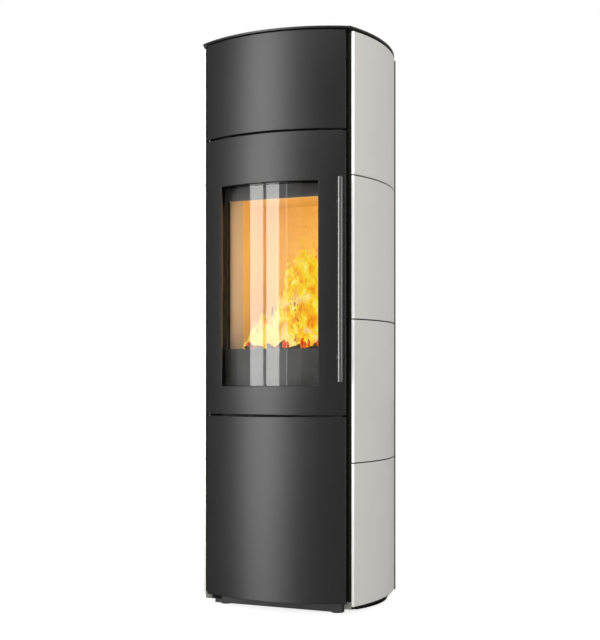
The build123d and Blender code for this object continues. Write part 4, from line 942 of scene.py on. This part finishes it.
# %% Ember finish
EMBER_COLOURS = (
    (0.00, (0.12, 0.004, 0.0)),
    (0.45, (0.85, 0.06, 0.005)),
    (1.00, (1.0, 0.34, 0.04)),
)


def ember_finish():
    coal = new_finish("embers")
    warp = coal.noise(60.0, 3.0)
    border = coal.cells(170.0, "DISTANCE_TO_EDGE")
    crack = 1 - (border + warp * 0.16).step(0.06, 0.20)
    hot = coal.noise(28.0, 2.0).step(0.50, 0.66)
    glow = coal.ramp(crack, EMBER_COLOURS)
    black = coal.noise(300.0, 4.0)
    lit = coal.blend(crack * hot, (0.0, 0.0, 0.0), glow)
    shader = coal.cover(
        Base_Color=coal.blend(black, (0.012, 0.010, 0.009), (0.07, 0.06, 0.055)),
        Roughness=0.92,
        Emission_Color=lit,
        Emission_Strength=1.0,
        Normal=coal.bump(black, 0.0008, 0.8),
    )
    return coal.show(shader)


EMBERS = ember_finish()


# %% Ember bed
LUMPS = 280
BED_LEFT, BED_RIGHT = FIRE_LEFT + 0.052, FIRE_RIGHT - 0.022
BED_FRONT, BED_REAR = FIRE_FRONT + 0.020, FIRE_REAR - 0.020
LUMP_LEAST, LUMP_SPREAD = 0.009, 0.011  # smallest radius, and how much more
HEAP = 0.016  # height of the heap in its middle
FLATNESS = 0.72
ANY_WAY = 6.28  # radians, all but a full turn
OFF_HEARTH = 0.0004


def seeded(index, salt):
    """A steady number from 0 to 1 for a lump."""
    return noise.cell(Vector((index * 7.31 + 0.5, salt * 3.77 + 0.5, 11.5))) * 0.5 + 0.5


def add_lump(bm, index):
    """One cinder on the bed; its number sets its place, size and turn."""
    across, back, size = seeded(index, 1), seeded(index, 2), seeded(index, 3)
    x = BED_LEFT + (BED_RIGHT - BED_LEFT) * across
    y = BED_FRONT + (BED_REAR - BED_FRONT) * back
    radius = LUMP_LEAST + LUMP_SPREAD * size
    heap = HEAP * sin(pi * across) * sin(pi * back) * seeded(index, 4)
    turn = Euler((ANY_WAY * seeded(index, 5), ANY_WAY * seeded(index, 6), 0))
    shape = Matrix.Diagonal((1.25, 0.85 + 0.3 * size, FLATNESS, 1))
    middle = Matrix.Translation((x, y, HEARTH + radius * FLATNESS + heap))
    place = middle @ turn.to_matrix().to_4x4() @ shape
    lump = bmesh.ops.create_icosphere(bm, subdivisions=2, radius=radius, matrix=place)["verts"]
    for vert in lump:
        dent = noise.noise(vert.co * 95 + Vector((index, 0, 0)))
        vert.co += (vert.co - place.translation) * dent * 0.34
        vert.co.z = max(vert.co.z, HEARTH + OFF_HEARTH)


def make_embers():
    bm = bmesh.new()
    for index in range(LUMPS):
        add_lump(bm, index)
    finish_piece("ember_bed", bm, EMBERS, "stove_body", "fire_board", smooth=60)


make_embers()

# %% [markdown]
# ## Brands
#
# Along the front of the fire stand small slivers of burning wood, redder than
# the flames over them. Each is a drawn-out ball that noise makes ragged, one
# of a row behind the glass. Their glow is noise through a colour ramp, from
# dull red to orange.


# %% Brand finish
BRAND_COLOURS = (
    (0.30, (0.20, 0.004, 0.0)),
    (0.44, (0.62, 0.020, 0.002)),
    (0.64, (1.0, 0.20, 0.012)),
)


def brand_finish():
    brand = new_finish("glowing brand")
    cinder = brand.noise(1.0, 3.0, 0.6, brand.place((210, 210, 110)))
    shader = brand.cover(
        Base_Color=(0.02, 0.015, 0.012),
        Roughness=0.9,
        Emission_Color=brand.ramp(cinder, BRAND_COLOURS),
        Emission_Strength=1.0,
    )
    return brand.show(shader)


BRAND_GLOW = brand_finish()

# %% Brands
BRAND_BEHIND = 0.014  # behind the front of the fire
BRAND_DEPTH = 0.008
BRANDS = (
    # across, over the hearth, width, height
    (-0.109, 0.026, 0.009, 0.022),
    (0.007, 0.029, 0.010, 0.024),
    (0.018, 0.026, 0.010, 0.016),
    (0.066, 0.032, 0.010, 0.028),
    (0.075, 0.027, 0.010, 0.018),
    (0.087, 0.030, 0.009, 0.026),
    (0.115, 0.029, 0.009, 0.024),
)


def make_brands():
    """Upright slivers of glowing wood along the front of the fire."""
    bm = bmesh.new()
    for index, (x, rise, width, height) in enumerate(BRANDS):
        place = Vector((x, FIRE_FRONT + BRAND_BEHIND, HEARTH + rise))
        shape = Matrix.Translation(place) @ Matrix.Diagonal((width, BRAND_DEPTH, height, 1))
        sliver = bmesh.ops.create_icosphere(bm, subdivisions=4, radius=0.5, matrix=shape)["verts"]
        for vert in sliver:
            dent = noise.noise(vert.co * 260 + Vector((index, 0, 0)))
            vert.co += (vert.co - place) * dent * 0.9
    finish_piece("brands", bm, BRAND_GLOW, "stove_body", "fire_board", smooth=60)


make_brands()

# %% [markdown]
# ## Split logs
#
# Three split logs lie on the embers. A log starts as a round with many rings;
# noise gives it its bark and its bow; two slicing planes take off the split
# faces. Fire has charred them: the bark is black, and the charred skin is
# cracked into small blocks, with a glow deep in the cracks underneath.


# %% Charred wood finish
def charred_wood():
    wood = new_finish("charred wood")
    grain = wood.noise(1.0, 5.0, 0.65, wood.place((26, 240, 240)))
    blocks = wood.cells(1.0, "DISTANCE_TO_EDGE", where=wood.place((55, 80, 80)))
    crack = 1 - blocks.step(0.01, 0.07)
    ashy = wood.noise(34.0, 4.0, 0.6).step(0.52, 0.7)
    colour = wood.blend(grain, (0.010, 0.008, 0.007), (0.060, 0.042, 0.030))
    colour = wood.blend(ashy * 0.35, colour, (0.33, 0.30, 0.27))
    hot = wood.noise(15.0, 2.0).step(0.48, 0.62)
    shader = wood.cover(
        Base_Color=colour,
        Roughness=0.9,
        Emission_Color=wood.blend(crack * hot, (0.0, 0.0, 0.0), (1.0, 0.13, 0.012)),
        Emission_Strength=0.8,
        Normal=wood.bump(grain * 0.4 + blocks.step(0.0, 0.2), 0.0022, 0.9),
    )
    return wood.show(shader)


CHAR = charred_wood()


# %% A log
LOG_TAPER = 0.92  # thin end against thick end
SPLITS = ((0.3, 0.35), (2.0, 0.28))  # way a split faces, depth in radii


def round_log(length, radius, salt):
    """An unsplit log that stands on end, with bark and a slight bow."""
    bm = bmesh.new()
    bmesh.ops.create_cone(
        bm,
        cap_ends=True,
        segments=32,
        radius1=radius,
        radius2=radius * LOG_TAPER,
        depth=length,
    )
    along = [edge for edge in bm.edges if climb(edge) > length / 2]
    bmesh.ops.subdivide_edges(bm, edges=along, cuts=22, use_grid_fill=True)
    for vert in bm.verts:
        ring = Vector((vert.co.x, vert.co.y, vert.co.z * 0.35))
        bark = noise.noise(ring * 70 + Vector((salt, 0, 0))) * 0.10
        bark += noise.noise(ring * 190 + Vector((0, salt, 0))) * 0.05
        vert.co.x *= 1 + bark
        vert.co.y *= 1 + bark
        vert.co.x += 0.006 * sin(vert.co.z / length * 3 + salt)
    return bm


def split(bm, radius):
    """Takes off the split faces, and closes the wood behind them."""
    for angle, depth in SPLITS:
        normal = Vector((cos(angle), sin(angle), 0))
        cut = bmesh.ops.bisect_plane(
            bm,
            geom=bm.verts[:] + bm.edges[:] + bm.faces[:],
            plane_co=normal * radius * depth,
            plane_no=normal,
            clear_outer=True,
        )["geom_cut"]
        bmesh.ops.holes_fill(bm, edges=only(bmesh.types.BMEdge, cut))


def lay_log(name, length, radius, place, heading, roll, salt):
    """A split log: its middle's place, its heading in plan and its roll."""
    bm = round_log(length, radius, salt)
    split(bm, radius)
    lying = Matrix.Rotation(pi / 2, 4, "Y") @ Matrix.Rotation(roll, 4, "Z")
    turn = Matrix.Rotation(radians(heading), 4, "Z") @ lying
    bmesh.ops.transform(bm, matrix=Matrix.Translation(place) @ turn, verts=bm.verts[:])
    bmesh.ops.triangulate(bm, faces=[face for face in bm.faces if len(face.verts) > 4])
    bmesh.ops.recalc_face_normals(bm, faces=bm.faces[:])
    finish_piece(name, bm, CHAR, "stove_body", "fire_board", smooth=40)


print("a log is split on", len(SPLITS), "faces")

# %% Three logs
LOGS = (
    # name, length, radius, place over the middle of the hearth, heading, roll, seed
    ("log_rear", 0.245, 0.042, (0.012, 0.055, 0.058), 4, 0.7, 1.0),
    ("log_front", 0.230, 0.036, (-0.004, -0.040, 0.053), -7, 2.4, 5.0),
    ("log_top", 0.215, 0.034, (0.030, 0.010, 0.110), 24, 4.0, 9.0),
)
hearth_middle = Vector((0, (FIRE_FRONT + FIRE_REAR) / 2, HEARTH))
for name, length, radius, offset, heading, roll, salt in LOGS:
    lay_log(name, length, radius, hearth_middle + Vector(offset), heading, roll, salt)

# %% [markdown]
# ## Flames
#
# A flame is thin glowing gas, so it hides little and casts no shadow. Volumes
# would be the physical way, but they are slow and most other programs lose
# them. Here three wavy sheets stand one behind the other across the fire, and
# each is a closed skin a few millimetres thick. A map on every sheet says how
# far across and how high a point is. The shader draws the crest of the fire
# over that map and lets stretched and swirled noise tear it into licks. The
# colour is a row of oranges and yellows picked by upright streaks, paler at
# the foot on the left, with drifts of pale gas low down and dark red sparks
# right of the middle. The sheets don't light the boards behind them: a hidden
# lamp in the fire does that, with far less grain in the picture.


# %% Flame finish
FLAME_ROOT = HEARTH + 0.018
FLAME_REACH = 0.360  # height of the sheets over their root
MAP_PAST_RIGHT = 1.25  # the sheets run on behind the door's frame
CREST = (
    # across, how high the fire reaches there
    (0.00, 0.00),
    (0.05, 0.05),
    (0.09, 0.17),
    (0.19, 0.22),
    (0.35, 0.31),
    (0.41, 0.57),
    (0.50, 0.66),
    (0.61, 0.84),
    (0.71, 0.83),
    (0.80, 0.72),
    (0.90, 0.40),
    (1.00, 0.05),
)
FLAME_COLOURS = (
    # how bright the streak is, its colour
    (0.34, (0.90, 0.26, 0.012)),
    (0.42, (0.96, 0.43, 0.018)),
    (0.48, (0.98, 0.57, 0.024)),
    (0.54, (1.0, 0.68, 0.028)),
    (0.61, (1.0, 0.80, 0.07)),
    (0.69, (1.0, 0.88, 0.25)),
)


def flame_finish():
    flame = new_finish("flame")
    across, rise, _ = flame.parts(flame.node("UVMap", {"uv_map": "flame"}))
    point = flame.node("TexCoord", out="Object")
    eddies = flame.node("TexNoise", {}, {"Vector": point, "Scale": 16.0, "Detail": 2.0}, out="Color")
    swirl = flame.node(
        "VectorMath",
        {"operation": "MULTIPLY_ADD"},
        {0: eddies, 1: (0.05, 0.05, 0.07), 2: point},
    )
    licks = flame.noise(1.0, 4.0, 0.6, flame.place((44, 44, 19), point=swirl))
    tears = flame.noise(1.0, 2.0, 0.5, flame.place((75, 75, 34), point=swirl))
    crest = flame.ramp(across / MAP_PAST_RIGHT, [(u, (v, v, v)) for u, v in CREST])
    body = (crest - rise + (licks - 0.5) * 0.85).step(-0.05, 0.20)
    thin_left = (1 - across.step(0.30, 0.50)) * 0.20
    holes = (tears + (1 - rise) * 0.40 - thin_left).step(0.48, 0.68)
    streaks = flame.noise(1.0, 4.0, 0.6, flame.place((46, 46, 25), point=swirl))
    colour = flame.ramp(streaks, FLAME_COLOURS)
    pale = (1 - across.step(0.40, 0.62)) * (1 - rise.step(0.22, 0.38))
    foot = flame.blend(streaks.step(0.38, 0.62), (0.95, 0.50, 0.025), (1.0, 0.80, 0.19))
    colour = flame.blend(pale * 0.85, colour, foot)
    drifts = flame.noise(1.0, 2.0, 0.5, flame.place((20, 20, 12), point=swirl)).step(0.50, 0.60)
    drifts = drifts * (1 - rise.step(0.36, 0.50))
    colour = flame.blend(drifts * 0.6, colour, (1.0, 0.80, 0.34))
    sparks = flame.noise(1.0, 2.0, 0.6, flame.place((150, 150, 62))).step(0.55, 0.63)
    sparks = sparks * across.step(0.58, 0.64) * (1 - across.step(0.70, 0.76))
    sparks = sparks * (1 - rise.step(0.35, 0.50))
    colour = flame.blend(sparks * 0.8, colour, (0.42, 0.10, 0.006))
    light = flame.cover(
        Base_Color=(0.0, 0.0, 0.0),
        Roughness=1.0,
        Specular_IOR_Level=0.0,
        Emission_Color=colour,
        Emission_Strength=1.07,
        Alpha=body * holes,
    )
    return flame.show(light)


FLAME = flame_finish()


# %% Flames
CURTAINS = (
    # behind the front of the fire, left and right ends of the map
    (0.024, -0.130, 0.124),
    (0.069, -0.151, 0.106),
    (0.114, -0.173, 0.088),
)
CURTAIN_THICKNESS = 0.003


def add_curtain(bm, layer, depth, left, right, salt):
    """One wavy sheet of flame from side to side of the firebox."""
    ahead = bmesh.ops.create_grid(bm, x_segments=60, y_segments=44, size=0.5)["verts"]
    sheet = list({face for vert in ahead for face in vert.link_faces})
    doubled = bmesh.ops.extrude_face_region(bm, geom=sheet)["geom"]
    behind = only(bmesh.types.BMVert, doubled)
    bmesh.ops.translate(bm, vec=(0, 0, 1), verts=behind)
    start = max(left, FIRE_LEFT)
    for vert in ahead + behind:
        x = start + (FIRE_RIGHT - start) * (vert.co.x + 0.5)
        z = FLAME_ROOT + FLAME_REACH * (vert.co.y + 0.5)
        wave = noise.noise(Vector((x * 14, z * 7, salt))) * 0.012
        vert.co = (x, FIRE_FRONT + depth + wave + CURTAIN_THICKNESS * vert.co.z, z)
    for face in {face for vert in ahead + behind for face in vert.link_faces}:
        for loop in face.loops:
            spot = loop.vert.co
            loop[layer].uv = ((spot.x - left) / (right - left), (spot.z - FLAME_ROOT) / FLAME_REACH)


def make_flames():
    bm = bmesh.new()
    layer = bm.loops.layers.uv.new("flame")
    for index, (depth, left, right) in enumerate(CURTAINS):
        add_curtain(bm, layer, depth, left, right, 3.7 * index)
    bmesh.ops.recalc_face_normals(bm, faces=bm.faces[:])
    piece = finish_piece("flames", bm, FLAME, "stove_body", "glass", smooth=60)
    piece.visible_shadow = False
    piece.visible_diffuse = False


make_flames()

# %% [markdown]
# ## The floor
#
# The stove stands on white paper. To the camera, and seen through the glass,
# the paper glows with some light of its own, so that it meets the white
# backdrop with no horizon and only a faint shadow. To the stove's glossy
# surfaces it is a satin sheet that mirrors the lamps and the dim room, because
# white paper would turn the low black enamel grey. Under the base plate, where
# the gap is a few millimetres, a painted shadow makes the paper dark and takes
# its glow away.

# %% Floor
BASE_LOW, BASE_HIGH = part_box("base_plate")
DARK_SIDE = 0.0125  # in from the sides of the base plate
DARK_FRONT, DARK_REAR = 0.077, 0.020  # in from its front and rear
DARK_CURVE = 0.295  # radius of the dark patch's sides
DARK_WIDEST_Y = 0.05
DARK_SOFT = 0.004  # width of its soft border
FLOOR_HALF = 30
PAPER_GLOW = 0.84


def under_stove(paper):
    """Mask of the painted shadow: one on the floor under the base plate, where no lamp reaches it.
    """
    x, y, _ = paper.axes()
    spot = paper.node("CombineXYZ", {}, {"X": x.unsigned(), "Y": y})
    centre = (BASE_HIGH.x - DARK_SIDE - DARK_CURVE, DARK_WIDEST_Y, 0)
    reach = paper.node("VectorMath", {"operation": "DISTANCE"}, {0: spot, 1: centre}, out="Value")
    inside = 1 - reach.step(DARK_CURVE - DARK_SOFT, DARK_CURVE + DARK_SOFT / 2)
    front, rear = BASE_LOW.y + DARK_FRONT, BASE_HIGH.y - DARK_REAR
    return inside * y.step(front, front + DARK_SOFT) * (1 - y.step(rear - DARK_SOFT, rear))


def floor_finish():
    paper = new_finish("floor paper")
    fibre = paper.noise(700.0, 3.0)
    glossy = paper.ray("Glossy")
    seen = (paper.ray("Camera") + glossy + paper.ray("Transmission")) * PAPER_GLOW
    white = paper.blend(fibre, (0.44, 0.44, 0.44), (0.46, 0.46, 0.46))
    diffuse = paper.node("BsdfDiffuse", {}, {"Color": white})
    lift = paper.node("Emission", {}, {"Color": (1, 1, 1), "Strength": seen})
    bright = paper.node("AddShader", {}, {0: diffuse, 1: lift})
    # Painted shadow: under the base plate the glowing paper gives way to near black.
    unlit = paper.node("BsdfDiffuse", {}, {"Color": (0.02, 0.02, 0.02)})
    matt = paper.node("MixShader", {}, {0: under_stove(paper), 1: bright, 2: unlit})
    satin = paper.cover(Base_Color=(0.72, 0.72, 0.72), Metallic=1.0, Roughness=0.30)
    return paper.show(paper.node("MixShader", {}, {0: glossy, 1: matt, 2: satin}))


floor_bm = bmesh.new()
bmesh.ops.create_grid(floor_bm, x_segments=4, y_segments=4, size=FLOOR_HALF)
floor = make_object("floor", floor_bm, floor_finish())
print("floor:", 2 * FLOOR_HALF, "m square")

# %% [markdown]
# ## The room
#
# The camera sees plain white behind the stove. Matt surfaces get an even, dim
# white light from all round. Mirrors and the glass see a room that is dark in
# front and at the sides, and brighter behind the stove, so that the enamel
# stays black between the lamps.

# %% World
ROOM_LIGHT = 0.54


def set_world():
    world = bpy.data.worlds.new("sweep")
    bpy.context.scene.world = world
    sky = Finish(world)
    to_the_rear = sky.parts(sky.node("TexCoord", out="Generated"))[1]
    sweep = sky.blend(to_the_rear.step(0.1, 0.9), (0.05, 0.05, 0.05), (0.5, 0.5, 0.5))
    mirrored = sky.ray("Glossy") + sky.ray("Transmission")
    room = sky.node("Background", {}, {"Color": (1, 1, 1), "Strength": ROOM_LIGHT})
    shown = sky.node("Background", {}, {"Color": sweep, "Strength": 1.0})
    plain = sky.node("Background", {}, {"Color": (1, 1, 1), "Strength": 1.0})
    unseen = sky.node("MixShader", {}, {0: mirrored, 1: room, 2: shown})
    sky.show(sky.node("MixShader", {}, {0: sky.ray("Camera"), 1: unseen, 2: plain}), "World")


set_world()

# %% [markdown]
# ## The lamps
#
# Two tall soft lamps stand side by side, left of the camera, with a narrow gap
# between them: the curved glass shows both as upright bands, and the satin
# enamel blurs them into one highlight left of the middle. A thin lamp stands
# on either side of the pair, for the fine lines beside the bands. Three wide
# and faint ones lie over them, and give the highlight its long soft sides.
# A square lamp at the side lights the tiles and draws a second line on the
# handle, one overhead lights the top, and one high in front picks out the
# edges, and doesn't show in mirrors.

# %% The bank of tall lamps
BANK_TURN = radians(-27.5)  # from straight ahead of the stove
BANK_DISTANCE = 2.2
BANK_FACING = Vector((sin(BANK_TURN), -cos(BANK_TURN), 0))
BANK_ACROSS = Vector((cos(BANK_TURN), sin(BANK_TURN), 0))
STRIP_HEIGHT = 3.4
STRIP_MIDDLE = 1.55  # over the floor


def soft_lamp(name, place, aim, width, height, power, colour=(1, 1, 1)):
    """A rectangular lamp at a place, turned to face a point."""
    lamp = bpy.data.lights.new(name, "AREA")
    lamp.shape = "RECTANGLE"
    lamp.size = width
    lamp.size_y = height
    lamp.energy = power
    lamp.color = colour
    holder = bpy.data.objects.new(name, lamp)
    holder.location = place
    holder.rotation_euler = (Vector(aim) - Vector(place)).to_track_quat("-Z", "Y").to_euler()
    holder.visible_camera = False
    bpy.context.scene.collection.objects.link(holder)
    return holder


def strip_lamp(name, across, width, brightness):
    """A tall lamp in the bank left of the camera; across is its middle."""
    place = BANK_FACING * BANK_DISTANCE + BANK_ACROSS * across + Vector((0, 0, STRIP_MIDDLE))
    power = brightness * pi * width * STRIP_HEIGHT
    return soft_lamp(name, place, place - BANK_FACING, width, STRIP_HEIGHT, power)


STRIPS = (
    # name, across, width, brightness
    ("strip_left", -0.173, 0.442, 4.7),
    ("strip_right", 0.356, 0.420, 4.8),
    ("strip_thin_left", -0.600, 0.030, 2.6),
    ("strip_thin_right", 0.815, 0.028, 2.6),
    ("strip_halo_0", 0.18, 1.25, 0.65),
    ("strip_halo_1", 0.20, 1.70, 0.30),
    ("strip_halo_2", 0.20, 2.30, 0.25),
)
for name, across, width, brightness in STRIPS:
    strip_lamp(name, across, width, brightness)
print("tall lamps:", len(STRIPS))

# %% Side, top and edge lamps
SQUARES = (
    # name, place, what it faces, size, watts
    ("side_lamp", (3.0, -0.4, 1.3), (0.2, 0, 0.9), 2.4, 24),
    ("top_lamp", (0.0, -0.6, 3.4), (0, 0, 0.8), 2.4, 24),
    ("edge_lamp", (0.2, -2.5, 3.4), (0, 0, 0.9), 1.6, 55),
)
for name, place, aim, size, power in SQUARES:
    soft_lamp(name, place, aim, size, size, power)
bpy.data.objects["edge_lamp"].visible_glossy = False
print("square lamps:", len(SQUARES))

# %% [markdown]
# ## Fire light
#
# The boards behind a fire glow with its light. A warm lamp as wide as the
# flames hangs at the front of the fire and faces the rear boards. Mirrors and
# the glass don't show it.

# %% Fire light
GLOW_HEIGHT = 0.255  # over the hearth
GLOW_COLOUR = (1.0, 0.58, 0.18)
glow_place = (0, FIRE_FRONT, HEARTH + GLOW_HEIGHT)
glow_aim = (0, FIRE_REAR, HEARTH + GLOW_HEIGHT)
glow = soft_lamp("fire_glow", glow_place, glow_aim, 0.27, 0.42, 0.80, GLOW_COLOUR)
glow.visible_glossy = False
glow.visible_transmission = False

# %% [markdown]
# ## Colours as written
#
# Colours are shown as written, with no film curve.

# %% Colours as written
bpy.context.scene.view_settings.view_transform = "Standard"
